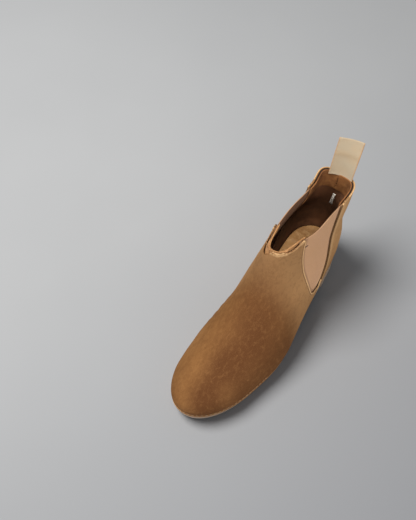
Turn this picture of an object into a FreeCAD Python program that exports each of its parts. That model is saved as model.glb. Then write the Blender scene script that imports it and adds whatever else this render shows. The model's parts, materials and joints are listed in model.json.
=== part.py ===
import FreeCAD, Part
import math, os

# Chelsea boot for the left foot, men's EU 42, in millimetres. +Z is up with the ground at Z = 0,
# the toe points to -Y, the heel to +Y, and the wearer's outer side is +X.
# Design coordinates: u runs along the foot from the toe (0) to the heel (300), z is height,
# x is measured from the centre plane, positive outwards.

os.makedirs("parts", exist_ok=True)
V = FreeCAD.Vector

ORIGIN_X = 1.835        # shift that puts the origin under the middle of the boot
ORIGIN_U = 150.925

# Depths under the outer surface of the upper
LEATHER = 1.8                   # suede
GORE_IN, GORE_OUT = 2.0, 3.1    # elastic, stiffeners and tape, between suede and lining
LINE_IN, LINE_OUT = 3.3, 4.4    # lining

# Sole and heel
WELT_T = 3.0            # welt thickness
SOLE_EDGE = 1.3         # edge of welt and heel beyond the featherline
TOE_EDGE = 0.6          # the edge is this much wider round the toe
SOLE_SET_IN = 2.1       # the forepart of the outsole is set in under the welt by this much
WELT_IN = 9.0           # inner edge of the welt, inside the featherline
CORK_CLEARANCE = 0.3    # between welt and cork filler
INSOLE_IN = 5.0         # insole outline inside the featherline
INSOLE_T = 2.6
SOCK_IN = INSOLE_IN + 0.3
SOCK_T = 1.8
LAYER_GAP = 0.05        # height gap between stacked layers
U_BALL = 105.0          # flex line across the ball of the foot
SPLIT = 0.15            # half gap where a flexing layer is divided
U_BREAST = 234.0        # front of the heel
HEEL_END_U = 304        # slabs of the heel end behind its outline
SECTIONS = {"front": (-8.0, U_BALL - SPLIT), "rear": (U_BALL + SPLIT, 306.0)}
HEEL_TOP_T = 6.0        # heel top piece
PRISM_LOW, PRISM_HIGH = -5.0, 60.0      # height range of the cutting prisms
SLAB_HALF_W = 90        # half width of the cutting slabs

# Seams of the upper
SEAM_U = 212.0          # vamp edge at the featherline
SEAM_REAR_U = SEAM_U + 1.0      # quarter edge at the featherline
VAMP_TOP_U, QUARTER_TOP_U = 192.5, 252      # the same edges at the topline
GORE_TOP_U = (185.5, 259.5)     # front and rear edge of the gore at the topline


# ---------------------------------------------------------------- curves
def locate(values, v):
    """interval of the rising values that holds v, and the fraction of it; ends extrapolate"""
    lo, hi = 0, len(values) - 1
    while hi - lo > 1:
        middle = (lo + hi) // 2
        if values[middle] > v:
            hi = middle
        else:
            lo = middle
    return lo, (v - values[lo]) / (values[hi] - values[lo])


def running_lengths(points):
    lengths = [0.0]
    for p, q in zip(points, points[1:]):
        lengths.append(lengths[-1] + math.dist(p, q))
    return lengths


def bisect(lo, hi, steps, below):
    """largest value for which below(value) still holds"""
    for _ in range(steps):
        middle = (lo + hi) / 2
        if below(middle):
            lo = middle
        else:
            hi = middle
    return lo


class Spline:
    """natural cubic spline y(x) through points, straight beyond its ends"""
    def __init__(self, points):
        self.x = x = [p[0] for p in points]
        self.y = y = [p[1] for p in points]
        n = len(points)
        below, above, right = [0.0] * n, [0.0] * n, [0.0] * n
        diagonal = [1.0] * n
        for i in range(1, n - 1):
            h0 = x[i] - x[i - 1]
            h1 = x[i + 1] - x[i]
            below[i], diagonal[i], above[i] = h0, 2 * (h0 + h1), h1
            right[i] = 6 * ((y[i + 1] - y[i]) / h1 - (y[i] - y[i - 1]) / h0)
        for i in range(1, n):
            factor = below[i] / diagonal[i - 1]
            diagonal[i] -= factor * above[i - 1]
            right[i] -= factor * right[i - 1]
        second = [0.0] * n      # second derivatives at the points
        second[-1] = right[-1] / diagonal[-1]
        for i in range(n - 2, -1, -1):
            second[i] = (right[i] - above[i] * second[i + 1]) / diagonal[i]
        self.second = second

    def __call__(self, v):
        x, y, m = self.x, self.y, self.second
        if v <= x[0]:
            h = x[1] - x[0]
            return y[0] + ((y[1] - y[0]) / h - h * (2 * m[0] + m[1]) / 6) * (v - x[0])
        if v >= x[-1]:
            h = x[-1] - x[-2]
            return y[-1] + ((y[-1] - y[-2]) / h + h * (2 * m[-1] + m[-2]) / 6) * (v - x[-1])
        i, b = locate(x, v)
        h = x[i + 1] - x[i]
        a = 1 - b
        bend = (a ** 3 - a) * m[i] + (b ** 3 - b) * m[i + 1]
        return a * y[i] + b * y[i + 1] + bend * h * h / 6


class Curve:
    """plane curve through points, parameter 0..1 by arc length"""
    STEPS = 200

    def __init__(self, points):
        lengths = running_lengths(points)
        t = [v / lengths[-1] for v in lengths]
        self.first = Spline(list(zip(t, [p[0] for p in points])))
        self.last = Spline(list(zip(t, [p[1] for p in points])))
        self.dense = [self.raw(i / self.STEPS) for i in range(self.STEPS + 1)]
        lengths = running_lengths(self.dense)
        self.params = [v / lengths[-1] for v in lengths]

    def raw(self, t):
        return (self.first(t), self.last(t))

    def __call__(self, v):
        i, fraction = locate(self.params, v)
        return self.raw((i + fraction) / self.STEPS)

    def part(self, a, b):
        return lambda v: self(a + (b - a) * v)

    def param_at(self, axis, value):
        """parameter where the coordinate of this axis (0 for u, 1 for z) reaches the value"""
        return bisect(0.0, 1.0, 50, lambda v: self(v)[axis] < value)


def smooth(a, b, v):
    """smooth step from 0 at a to 1 at b"""
    t = min(max((v - a) / (b - a), 0.0), 1.0)
    return t * t * (3 - 2 * t)


# ---------------------------------------------------------------- the last: profile and widths
# Side profile as (u, z) points
FEATHER = Spline([
    (4, 20.5), (20, 17.6), (45, 15.2), (75, 14), (105, 14), (135, 15.8),
    (165, 19.5), (195, 23.6), (225, 26.6), (260, 28.3), (300, 29)])
BACK_POINTS = [
    (296, 28.9), (298.2, 38), (298.4, 52), (296.6, 68), (293, 86), (289.4, 104),
    (286.6, 122), (285.2, 140), (285.5, 157.5)]
TOP_POINTS = [
    (165, 143), (167, 143.3), (173, 145.3), (181, 149.5), (189, 152.7), (197, 153.3),
    (212, 152.3), (232, 151), (252, 151.5), (269, 154), (285.5, 157.5)]
INSTEP = Curve([
    (-30, 45), (0, 48), (25, 52), (50, 56.5), (72, 61.5), (94, 68.5), (113, 77.5),
    (129, 89), (142, 102), (151.5, 116), (159, 130), (165, 143), (168.5, 153), (172, 167)])
BACK = Curve([(296, 20)] + BACK_POINTS + [(287, 175)])
TOP = Curve(TOP_POINTS)
# Front of the toe as (z, u)
TOE_U = Spline([(15, 4.6), (20.5, 3.6), (28, 2.0), (36, 2.4), (46, 4.5), (60, 9)])

# Centre line in plan as (u, x), then half widths of the foot on either side as (u, width)
CENTRE_X = Spline([(0, -11), (40, -9.5), (80, -6), (120, -2.5), (160, -0.8), (200, 0), (300, 0)])
HALF_OUTER = Spline([
    (0, 38), (25, 41.5), (50, 46), (80, 51), (105, 53.5), (130, 52),
    (155, 47.5), (180, 43.5), (210, 40), (240, 36.5), (270, 33.5), (300, 32.5)])
HALF_INNER = Spline([
    (0, 33.5), (25, 35.3), (50, 37.3), (80, 41.2), (100, 41.8), (125, 39.5),
    (150, 36), (180, 33.5), (210, 33), (240, 33.5), (270, 33.5), (300, 33)])
# Half width of the shaft as (z, width)
HALF_SHAFT = Spline([
    (20, 35), (45, 35.5), (65, 34.5), (85, 31.5), (105, 27.8), (130, 24.5),
    (150, 23.4), (165, 23.4)])

# How far in from the profile the rounding reaches: toe, instep (curve parameter, reach)
# and back (z, reach)
TOE_REACH = 56.0
INSTEP_REACH = Spline([
    (0, 30), (0.12, 30), (0.25, 36), (0.4, 46), (0.55, 56), (0.7, 63), (0.85, 65), (1.0, 64)])
BACK_REACH = Spline([(20, 36), (50, 37), (80, 38), (105, 37), (125, 31), (142, 24.5), (160, 20)])
BLEND_POWER = 2.6       # joins toe and instep rounding
SECTION_POWER = 2.15    # superellipse power of the cross-section
LEAN = 3.5              # the soft shaft stands a little outwards of the heel
LEAN_BACK = 4.0         # and its back a little more
THROAT = 9.5            # the front of the collar sits towards the inner side
FLAT_IN = 3.5           # the inner side of the shaft is flatter than the outer side


def nearest(curve, u, z):
    """distance to a curve, positive on the left of its direction, and the nearest parameter"""
    dense, n, step = curve.dense, curve.STEPS, 8
    coarse = min(range(0, n + 1, step),
                 key=lambda i: (dense[i][0] - u) ** 2 + (dense[i][1] - z) ** 2)
    best, param, side = 1e18, 0.0, 1.0
    for i in range(max(0, coarse - step), min(n, coarse + step)):
        ax, ay = dense[i]
        dx, dy = dense[i + 1][0] - ax, dense[i + 1][1] - ay
        f = ((u - ax) * dx + (z - ay) * dy) / (dx * dx + dy * dy)
        f = min(max(f, 0.0), 1.0)
        d = (ax + f * dx - u) ** 2 + (ay + f * dy - z) ** 2
        if d < best:
            best = d
            param = curve.params[i] + f * (curve.params[i + 1] - curve.params[i])
            side = dx * (z - ay) - dy * (u - ax)
    return (math.sqrt(best) if side >= 0 else -math.sqrt(best)), param


def front_rounding(u, z):
    """0 well inside the profile, 1 on the ridge over toe and instep"""
    toe = max(0.0, 1 - (u - TOE_U(z)) / TOE_REACH)
    left, param = nearest(INSTEP, u, z)
    instep = max(0.0, 1 + left / INSTEP_REACH(param))
    return (toe ** BLEND_POWER + instep ** BLEND_POWER) ** (1 / BLEND_POWER)


def back_rounding(u, z):
    """0 well inside the profile, 1 on the back line"""
    return max(0.0, 1 - nearest(BACK, u, z)[0] / BACK_REACH(z))


def width(side, u, z):
    """half width of the boot from its centre plane, side +1 outer, -1 inner"""
    front = min(front_rounding(u, z), 1.0)
    back = min(back_rounding(u, z), 1.0)
    back_power = 2.0 + 1.4 * smooth(105, 150, z)
    full = HALF_OUTER(u) if side > 0 else HALF_INNER(u)
    shaft = smooth(40, 105, z) * smooth(110, 195, u)
    full = full * (1 - shaft) + HALF_SHAFT(z) * shaft
    if side < 0:
        full -= FLAT_IN * smooth(195, 240, u) * smooth(284, 257, u) * smooth(100, 140, z)
    w = full * (1 - front ** SECTION_POWER) ** (1 / SECTION_POWER)
    w *= (1 - back ** back_power) ** (1 / back_power)
    # tuck in towards the featherline
    h = (z - FEATHER(u)) / 12.0
    if h < 1:
        w *= 1 - 0.05 * (1 - max(h, -0.3)) ** 2
    return w


def centre(u, z):
    lean = (LEAN + LEAN_BACK * smooth(225, 275, u)) * smooth(60, 150, z)
    return CENTRE_X(u) + lean - THROAT * smooth(210, 150, u) * smooth(65, 140, z)


def boot_point(side, u, z):
    return (centre(u, z) + side * width(side, u, z), u, z)


def place(p):
    """design coordinates to the model frame"""
    return V(p[0] - ORIGIN_X, p[1] - ORIGIN_U, p[2])


def toe_ridge():
    """ridge over the toe, where the width comes to nothing, found along rays from inside"""
    cu, cz = 4 + TOE_REACH, 26.0
    start = math.atan2(FEATHER(4) - cz, TOE_U(FEATHER(4)) - cu)
    if start < 0:
        start += 2 * math.pi
    end = math.radians(92)
    points = []
    for i in range(27):
        a = start + (end - start) * (i / 26)
        reach = bisect(5.0, 90.0, 40, lambda m: front_rounding(
            cu + m * math.cos(a), cz + m * math.sin(a)) < 1)
        points.append((cu + reach * math.cos(a), cz + reach * math.sin(a)))
    return points


def full_ridge():
    """toe ridge continued up the instep to the topline"""
    toe = toe_ridge()
    instep = [INSTEP(v / 100) for v in range(0, 101, 4)]
    instep = [p for p in instep if p[0] > toe[-1][0] + 6 and p[1] < 139]
    return Curve(toe[::2] + instep + [TOP_POINTS[0]])


RIDGE = full_ridge()
back_part = BACK.part(BACK.param_at(1, BACK_POINTS[0][1]), BACK.param_at(1, BACK_POINTS[-1][1]))
BACK_LINE = Curve([back_part(i / 32) for i in range(33)])
TOE_START_U = RIDGE(0)[0]
HEEL_U = BACK_POINTS[0][0]
feather_us = [TOE_START_U + (HEEL_U - TOE_START_U) * i / 24 for i in range(25)]
FEATHER_LINE = Curve([(u, FEATHER(u)) for u in feather_us])

# ---------------------------------------------------------------- panels in the side view
# Panel edges from featherline to topline as (u, z)
VAMP_EDGE = Curve([
    (SEAM_U, FEATHER(SEAM_U)), (211.9, 30), (211.6, 35), (210.6, 40), (207.4, 44.2),
    (201.6, 47.4), (194.9, 52.4), (190.2, 59.8), (187.6, 70), (186.8, 86), (187.2, 107),
    (189, 130), (VAMP_TOP_U, 153.1)])
QUARTER_EDGE = Curve([
    (SEAM_REAR_U, FEATHER(SEAM_REAR_U)), (213.0, 30), (213.1, 35), (213.7, 40), (216.0, 44.4),
    (219.8, 48.4), (224.2, 54), (228.6, 62.4), (233.6, 78), (240.2, 101), (246.6, 125),
    (QUARTER_TOP_U, 151.5)])

# Elastic gore: a tongue-shaped panel whose edges are tucked behind the suede
GORE_FRONT = Curve([
    (200, 44), (190, 47), (183, 55), (180.3, 67), (179.8, 85), (180, 105), (182, 130),
    (GORE_TOP_U[0], 151.0)])
GORE_REAR = Curve([
    (208, 43.6), (218, 45.5), (226, 53), (232.5, 63), (239, 78), (247, 100), (254, 125),
    (GORE_TOP_U[1], 152.1)])
GORE_BOTTOM = Curve([(200, 44), (204, 43.3), (208, 43.6)])


def coons(bottom, top, left, right):
    """map (s, t) in 0..1 to (u, z) inside four edge curves"""
    p00, p01, p10, p11 = left(0), left(1), right(0), right(1)

    def f(s, t):
        l, r, b, p = left(t), right(t), bottom(s), top(s)
        return tuple(
            (1 - s) * l[k] + s * r[k] + (1 - t) * b[k] + t * p[k]
            - ((1 - s) * (1 - t) * p00[k] + s * (1 - t) * p10[k]
               + (1 - s) * t * p01[k] + s * t * p11[k])
            for k in (0, 1))
    return f


def gore_map():
    top = TOP.part(*(TOP.param_at(0, u) for u in GORE_TOP_U))
    # both edges are redrawn to end exactly on the topline
    front = Curve(GORE_FRONT.dense[0:190:27] + [top(0)])
    rear = Curve(GORE_REAR.dense[0:190:27] + [top(1)])
    return coons(GORE_BOTTOM, top, front, rear)


VAMP_MAP = coons(FEATHER_LINE.part(0, FEATHER_LINE.param_at(0, SEAM_U)),
                 TOP.part(0, TOP.param_at(0, VAMP_TOP_U)), RIDGE, VAMP_EDGE)
# for the quarters s runs from the back line forwards
QUARTER_MAP = coons(FEATHER_LINE.part(1, FEATHER_LINE.param_at(0, SEAM_REAR_U)),
                    TOP.part(1, TOP.param_at(0, QUARTER_TOP_U)), BACK_LINE, QUARTER_EDGE)


# ---------------------------------------------------------------- surfaces of the upper
def half_row(side, panel_map, crowding, t, n):
    """n + 1 evenly spaced points of one side at height t, from the fold to the free edge"""
    dense = 100

    def point(i):
        s = 1 - math.cos((i / dense) ** crowding * math.pi / 2)
        return boot_point(side, *panel_map(s, t))
    _, u, z = point(0)
    points = [(centre(u, z), u, z)] + [point(i) for i in range(1, dense + 1)]
    lengths = running_lengths(points)
    row = [points[0]]
    for i in range(1, n + 1):
        j, fraction = locate(lengths, lengths[-1] * i / n)
        row.append(point(j + fraction))
    return row


def surface_through(rows):
    surface = Part.BSplineSurface()
    surface.interpolate(rows)
    return surface


def wrapped_surface(panel_map, crowding, n, m):
    """surface over both sides of the boot, folded round the ridge or the back line"""
    rows = []
    for j in range(m + 1):
        inner = half_row(-1, panel_map, crowding, j / m, n)
        outer = half_row(1, panel_map, crowding, j / m, n)
        rows.append([place(p) for p in inner[::-1] + outer[1:]])
    return surface_through(rows)


def side_surface(side, panel_map, n, m):
    return surface_through([[place(boot_point(side, *panel_map(i / n, j / m)))
                             for i in range(n + 1)] for j in range(m + 1)])


def outward(surface):
    """+1 if the surface's own normal points out of the boot"""
    u0, u1, v0, v1 = surface.bounds()
    uu, vv = u0 + 0.4 * (u1 - u0), v0 + 0.93 * (v1 - v0)
    p = surface.value(uu, vv)
    inside = V(centre(p.y + ORIGIN_U, p.z) - ORIGIN_X, p.y, p.z)
    return 1.0 if surface.normal(uu, vv).dot(p - inside) > 0 else -1.0


def on(surface, row, column, lift):
    """point lifted off a surface; row 0..1 runs up the boot. On a wrapped surface
    column 0..1 runs from the inner free edge over the fold at 0.5 to the outer one"""
    u0, u1, v0, v1 = surface.bounds()
    uu, vv = u0 + (u1 - u0) * row, v0 + (v1 - v0) * column
    return surface.value(uu, vv) + surface.normal(uu, vv) * (lift * outward(surface))


def closed(faces):
    comp = Part.Compound(faces)
    comp.sewShape(1e-3)
    shell = comp.Shells[0] if comp.Shells else Part.Shell(comp.Faces)
    solid = Part.Solid(shell)
    if solid.Volume < 0:
        solid.reverse()
    if not solid.isValid():
        solid.fix(1e-4, 1e-4, 1e-3)
    return solid


def leaf(surface, depths, row_range, column_range, nr, nc):
    """sheet between two depths under a rectangle of a surface"""
    r0, r1 = row_range
    c0, c1 = column_range
    a, b = [surface_through([[on(surface, r0 + (r1 - r0) * j / nr, c0 + (c1 - c0) * i / nc, -depth)
                              for i in range(nc + 1)] for j in range(nr + 1)])
            for depth in depths]
    faces = [a.toShape(), b.toShape()]
    ab, bb = a.bounds(), b.bounds()
    edges = [(a.uIso(ab[k]), b.uIso(bb[k])) for k in (0, 1)]
    edges += [(a.vIso(ab[k]), b.vIso(bb[k])) for k in (2, 3)]
    for edge_a, edge_b in edges:
        faces.append(Part.makeRuledSurface(edge_a.toShape(), edge_b.toShape()))
    return closed(faces)


# ---------------------------------------------------------------- plan outline and layers
def feather_loop(n=110):
    """closed plan outline of the featherline as n (x, u) points"""
    points = []
    for side in (1, -1):
        half = []
        for i in range(161):
            u = TOE_START_U + (HEEL_U - TOE_START_U) * (1 - math.cos(math.pi * i / 160)) / 2
            half.append(boot_point(side, u, FEATHER(u))[:2])
        points += half[:-1] if side > 0 else half[::-1][:-1]
    points.append(points[0])
    lengths = running_lengths(points)
    loop = []
    for i in range(n):
        j, f = locate(lengths, lengths[-1] * i / n)
        a, b = points[j], points[j + 1]
        loop.append((a[0] + f * (b[0] - a[0]), a[1] + f * (b[1] - a[1])))
    for _ in range(2):      # even out the sampling at toe and heel
        loop = [tuple((loop[i - 1][k] + 2 * loop[i][k] + loop[(i + 1) % n][k]) / 4
                      for k in (0, 1)) for i in range(n)]
    return loop


LOOP = feather_loop()


def offset_loop(distance):
    """outline moved outwards by a distance, a number or a function of u"""
    n = len(LOOP)
    area = sum(LOOP[i][0] * LOOP[(i + 1) % n][1] - LOOP[(i + 1) % n][0] * LOOP[i][1]
               for i in range(n))
    turn = 1.0 if area > 0 else -1.0
    moved = []
    for i, (x, u) in enumerate(LOOP):
        a, b = LOOP[i - 1], LOOP[(i + 1) % n]
        tx, tu = b[0] - a[0], b[1] - a[1]
        length = math.hypot(tx, tu)
        k = distance(u) if callable(distance) else distance
        moved.append((x + turn * tu / length * k, u - turn * tx / length * k))
    return moved


def prism(distance):
    """upright solid inside the offset outline"""
    c = Part.BSplineCurve()
    c.interpolate(Points=[place((x, u, PRISM_LOW)) for x, u in offset_loop(distance)],
                  PeriodicFlag=True)
    return Part.Face(Part.Wire(c.toShape())).extrude(V(0, 0, PRISM_HIGH - PRISM_LOW))


def height_edges(height, a, b):
    """edges from u = a to b at a height: a number, a function or a list of (height, u, u)"""
    if isinstance(height, list):
        edges = []
        for piece, start, end in height:
            start, end = max(start, a), min(end, b)
            if end > start:
                edges += height_edges(piece, start, end)
        return edges
    if isinstance(height, (int, float)):
        return [Part.makeLine(*(V(-SLAB_HALF_W, u - ORIGIN_U, height) for u in (a, b)))]
    n = max(4, int((b - a) / 12))
    c = Part.BSplineCurve()
    c.interpolate([V(-SLAB_HALF_W, u - ORIGIN_U, height(u))
                   for u in (a + (b - a) * i / n for i in range(n + 1))])
    return [c.toShape()]


def slab(low, high, u0, u1):
    """layer across the whole width between two heights"""
    lower, upper = height_edges(low, u0, u1), height_edges(high, u0, u1)

    def end(edge, u):
        return min(edge.Vertexes, key=lambda v: abs(v.Point.y - (u - ORIGIN_U))).Point
    ends = [Part.makeLine(end(lower[k], u), end(upper[k], u)) for k, u in ((0, u0), (-1, u1))]
    outline = Part.Wire(Part.__sortEdges__(lower + upper + ends))
    return Part.Face(outline).extrude(V(2 * SLAB_HALF_W, 0, 0))


def above_feather(k):
    return lambda u: FEATHER(u) + k


def one(shape):
    """boolean result as plain solids"""
    s = shape.Solids
    return s[0] if len(s) == 1 else Part.Compound(s)


# Underside of the outsole as (u, z): toe spring, flat tread under the ball, rise to the
# waist, seat over the heel
SOLE_TOE = Spline([
    (-6, 10.4), (2, 8.4), (20, 4.6), (40, 1.8), (58, 0.4), (72, 0.0), (73, 0.0)])
SOLE_WAIST = Spline([
    (107, 0.0), (108, 0.0), (122, 0.7), (140, 3.2), (165, 8.2), (195, 13.0),
    (225, 15.4), (250, 16.0), (306, 16.0)])
SOLE_BOTTOM = [(SOLE_TOE, -6, 72), (0.0, 72, 108), (SOLE_WAIST, 108, 306)]


def edge_width(u):
    return SOLE_EDGE + TOE_EDGE * smooth(55, 22, u)


def sole_layers():
    """outsole, welt, cork, insole and sock, each divided at the flex line"""
    sole = prism(lambda u: edge_width(u) - SOLE_SET_IN * smooth(228, 165, u))
    ring = prism(edge_width).cut(prism(-WELT_IN))
    welt_bottom = above_feather(-WELT_T + LAYER_GAP)
    layers = [
        ("outsole", sole, SOLE_BOTTOM, above_feather(-WELT_T)),
        ("welt", ring, welt_bottom, above_feather(-0.1)),
        ("cork_filler", prism(-WELT_IN - CORK_CLEARANCE), welt_bottom, above_feather(-0.15)),
        ("insole_board", prism(-INSOLE_IN), above_feather(0.0), above_feather(INSOLE_T)),
        ("sock_liner", prism(-SOCK_IN),
         above_feather(INSOLE_T + LAYER_GAP), above_feather(INSOLE_T + SOCK_T))]
    return {name + "_" + tag: one(shape.common(slab(low, high, *section)))
            for tag, section in SECTIONS.items() for name, shape, low, high in layers}


# ---------------------------------------------------------------- shank and heel
SHANK_U = (138.0, 243.0)    # from behind the ball to under the heel seat
SHANK_W = 15.0
SHANK_X = -0.6
SHANK_Z = (-2.2, -1.0)      # bottom and top relative to the featherline
SLOT_SIDE, SLOT_HEIGHT = 0.3, 0.15      # clearances of the slot in the cork

# Heel nails as (x from the centre line, u)
NAILS = [(-20, 245), (0, 243), (20, 245), (-24, 262), (24, 262), (-18, 279), (18, 279),
         (0, 287), (0, 264)]
NAIL_R, NAIL_LENGTH = 1.1, 18.0
NAIL_HEAD_R, NAIL_HEAD_T = 2.1, 1.2
NAIL_HEAD_Z = 0.4
NAIL_CLEARANCE = 0.05


def strip(clearance_side, clearance_height):
    """round-ended strip of the shank, grown by clearances"""
    w = SHANK_W + 2 * clearance_side
    u0, u1 = SHANK_U[0] - clearance_side, SHANK_U[1] + clearance_side
    box = Part.makeBox(w, u1 - u0, 60, V(SHANK_X - ORIGIN_X - w / 2, u0 - ORIGIN_U, -5))

    def upright(edge):
        a, b = (v.Point for v in edge.Vertexes)
        return abs(a.x - b.x) < 1e-6 and abs(a.y - b.y) < 1e-6
    box = box.makeFillet(w / 2 - 0.4, [e for e in box.Edges if upright(e)])
    low = above_feather(SHANK_Z[0] - clearance_height)
    high = above_feather(SHANK_Z[1] + clearance_height)
    return one(box.common(slab(low, high, u0 - 2, u1 + 2)))


def add_shank(parts):
    parts["shank"] = strip(0, 0)
    slot = strip(SLOT_SIDE, SLOT_HEIGHT)
    parts["cork_filler_rear"] = one(parts["cork_filler_rear"].cut(slot))


def add_heel(parts):
    """block and top piece, held by nails driven up into the outsole"""
    outline = prism(SOLE_EDGE)
    top_piece = one(outline.common(slab(0.0, HEEL_TOP_T, U_BREAST, HEEL_END_U)))
    block = one(outline.common(slab(HEEL_TOP_T + LAYER_GAP, lambda u: SOLE_WAIST(u) - LAYER_GAP,
                                    U_BREAST, HEEL_END_U)))
    outsole = parts["outsole_rear"]
    nails = []
    for x, u in NAILS:
        def rod(radius, length, z):
            return Part.makeCylinder(radius, length, place((x + CENTRE_X(u), u, z)))
        shaft = rod(NAIL_R, NAIL_LENGTH, NAIL_HEAD_Z + NAIL_HEAD_T)
        head = rod(NAIL_HEAD_R, NAIL_HEAD_T, NAIL_HEAD_Z)
        nails.append(shaft.fuse(head).removeSplitter().Solids[0])
        hole = rod(NAIL_R + NAIL_CLEARANCE, 19.0, 1.2)
        sink = rod(NAIL_HEAD_R + NAIL_CLEARANCE, 1.75, -0.1)
        outsole = one(outsole.cut(hole))
        block = one(block.cut(hole))
        top_piece = one(top_piece.cut(hole.fuse(sink)))
    parts["outsole_rear"] = outsole
    parts["heel_block"] = block
    parts["heel_top_piece"] = top_piece
    parts["heel_nails"] = Part.Compound(nails)


# ---------------------------------------------------------------- sheets of the upper
VAMP = wrapped_surface(VAMP_MAP, 1.15, 26, 48)
QUARTER = wrapped_surface(QUARTER_MAP, 1.45, 16, 48)
FOLD = 0.5              # column of the ridge and of the back seam
SEAM_HALF_GAP = 0.0006  # half gap of the back seam, in columns
LOOP_C = 0.519          # column of the pull loop
SUEDE = (0.0, LEATHER)
BETWEEN = (GORE_IN, GORE_OUT)
LINING = (LINE_IN, LINE_OUT)
LINING_RECT = (0.002, 0.996), (0.003, 0.997)

# name: surface, depths, rows, columns, sampling steps in rows and in columns
SHEETS = {
    "vamp": (VAMP, SUEDE, (0, 1), (0, 1), 50, 56),
    "quarter_medial": (QUARTER, SUEDE, (0, 1), (0, FOLD - SEAM_HALF_GAP), 44, 18),
    "quarter_lateral": (QUARTER, SUEDE, (0, 1), (FOLD + SEAM_HALF_GAP, 1), 44, 18),
    "vamp_lining": (VAMP, LINING, *LINING_RECT, 48, 56),
    "quarter_lining": (QUARTER, LINING, *LINING_RECT, 26, 34),
    "toe_puff": (VAMP, (GORE_IN, GORE_OUT - 0.25), (0.004, 0.27), (0.27, 0.73), 24, 48),
    "heel_counter": (QUARTER, BETWEEN, (0.006, 0.46), (0.2, 0.8), 14, 30),
    "topline_tape_front": (VAMP, BETWEEN, (0.955, 0.998), (0.27, 0.73), 4, 24),
    # webbing of the pull loop, flat between the suede and the lining
    "pull_loop_tail": (QUARTER, BETWEEN, (0.85, 0.992), (LOOP_C - 0.1, LOOP_C + 0.1), 8, 12),
    # narrow upright strip on the lining at the back
    "size_label": (QUARTER, (LINE_OUT + 0.12, LINE_OUT + 0.45), (0.53, 0.72), (0.506, 0.542),
                   8, 4),
}


def rear_tape():
    """tape along the collar, interrupted by the pull loop"""
    return Part.Compound([leaf(QUARTER, BETWEEN, (0.935, 0.998), columns, 4, 16)
                          for columns in ((0.12, LOOP_C - 0.105), (LOOP_C + 0.105, 0.88))])


def gore(side, panel_map):
    return leaf(side_surface(side, panel_map, 16, 22), BETWEEN, (0, 0.992), (0, 1), 20, 16)


# ---------------------------------------------------------------- stitching
THREAD_R = 0.3
THREAD_LIFT = 0.52      # thread axis above the suede
EDGE_C = 0.022          # seam rows from the vamp's edge, in columns
QUARTER_EDGE_C = EDGE_C * 1.6
BACK_SEAM_C = 0.012     # seam rows from the back seam, in columns
TACK_Z = 137.0          # bar tacks at the front of the gores
TACK_R = 0.5
TACK_DU = (0.9, 5.2)    # ends of a bar tack behind the vamp edge
TACK_LIFT = 0.62        # tack axis above the face of the gore
WELT_STITCH = 4.2
WELT_PITCH = 7.0        # rounded to a whole number of stitches round the loop
WELT_STITCH_IN = 0.42   # stitch line inside the edge of the welt

# name: surface, pitch, stitch length, lines as start and end (row, column)
STITCHING = {
    "vamp_edge_stitching": (VAMP, 7.0, 5.0, [
        ((0.17, c), (0.975, c)) for c in (EDGE_C, 1 - EDGE_C)]),
    "quarter_edge_stitching": (QUARTER, 7.0, 5.0, [
        ((0.03, c), (0.97, c)) for c in (QUARTER_EDGE_C, 1 - QUARTER_EDGE_C)]),
    "topline_stitching_front": (VAMP, 6.0, 4.0, [((0.986, 0.05), (0.986, 0.95))]),
    "topline_stitching_rear": (QUARTER, 6.0, 3.6, [
        ((0.982, 0.06), (0.982, 0.445)), ((0.982, 0.555), (0.982, 0.94))]),
    "back_seam_stitching": (QUARTER, 7.0, 5.0, [
        ((0.05, c), (0.95, c)) for c in (FOLD + BACK_SEAM_C, FOLD - BACK_SEAM_C)]),
    # two rows through the suede hold the webbing of the pull loop
    "pull_loop_stitching": (QUARTER, 5.0, 3.4, [
        ((r, c0), (r, c1)) for r in (0.875, 0.955)
        for c0, c1 in ((LOOP_C - 0.085, FOLD - BACK_SEAM_C), (FOLD + 0.022, LOOP_C + 0.085))]),
}


def rod_between(radius, a, b):
    return Part.makeCylinder(radius, a.distanceToPoint(b), a, b - a)


def point_along(points, lengths, distance):
    j, f = locate(lengths, distance)
    return points[j] + (points[j + 1] - points[j]) * f


def thread_row(surface, pitch, stitch, start, end):
    """raised threads along a straight line in rows and columns"""
    n = 160
    points = [on(surface, start[0] + (end[0] - start[0]) * (i / n),
                 start[1] + (end[1] - start[1]) * (i / n), THREAD_LIFT) for i in range(n + 1)]
    lengths = running_lengths(points)
    threads = []
    w = pitch * 0.3
    while w + stitch < lengths[-1]:
        threads.append(rod_between(THREAD_R, point_along(points, lengths, w),
                                   point_along(points, lengths, w + stitch)))
        w += pitch
    return threads


def bar_tack(side):
    u, z = VAMP_EDGE(VAMP_EDGE.param_at(1, TACK_Z))
    ends = []
    for du in TACK_DU:
        p = place(boot_point(side, u + du, z))
        along = place(boot_point(side, u + du + 0.5, z)) - p
        normal = V(along.y, -along.x, 0) * side
        normal.normalize()
        ends.append(p - normal * (GORE_IN - TACK_LIFT))
    return rod_between(TACK_R, *ends)


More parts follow.
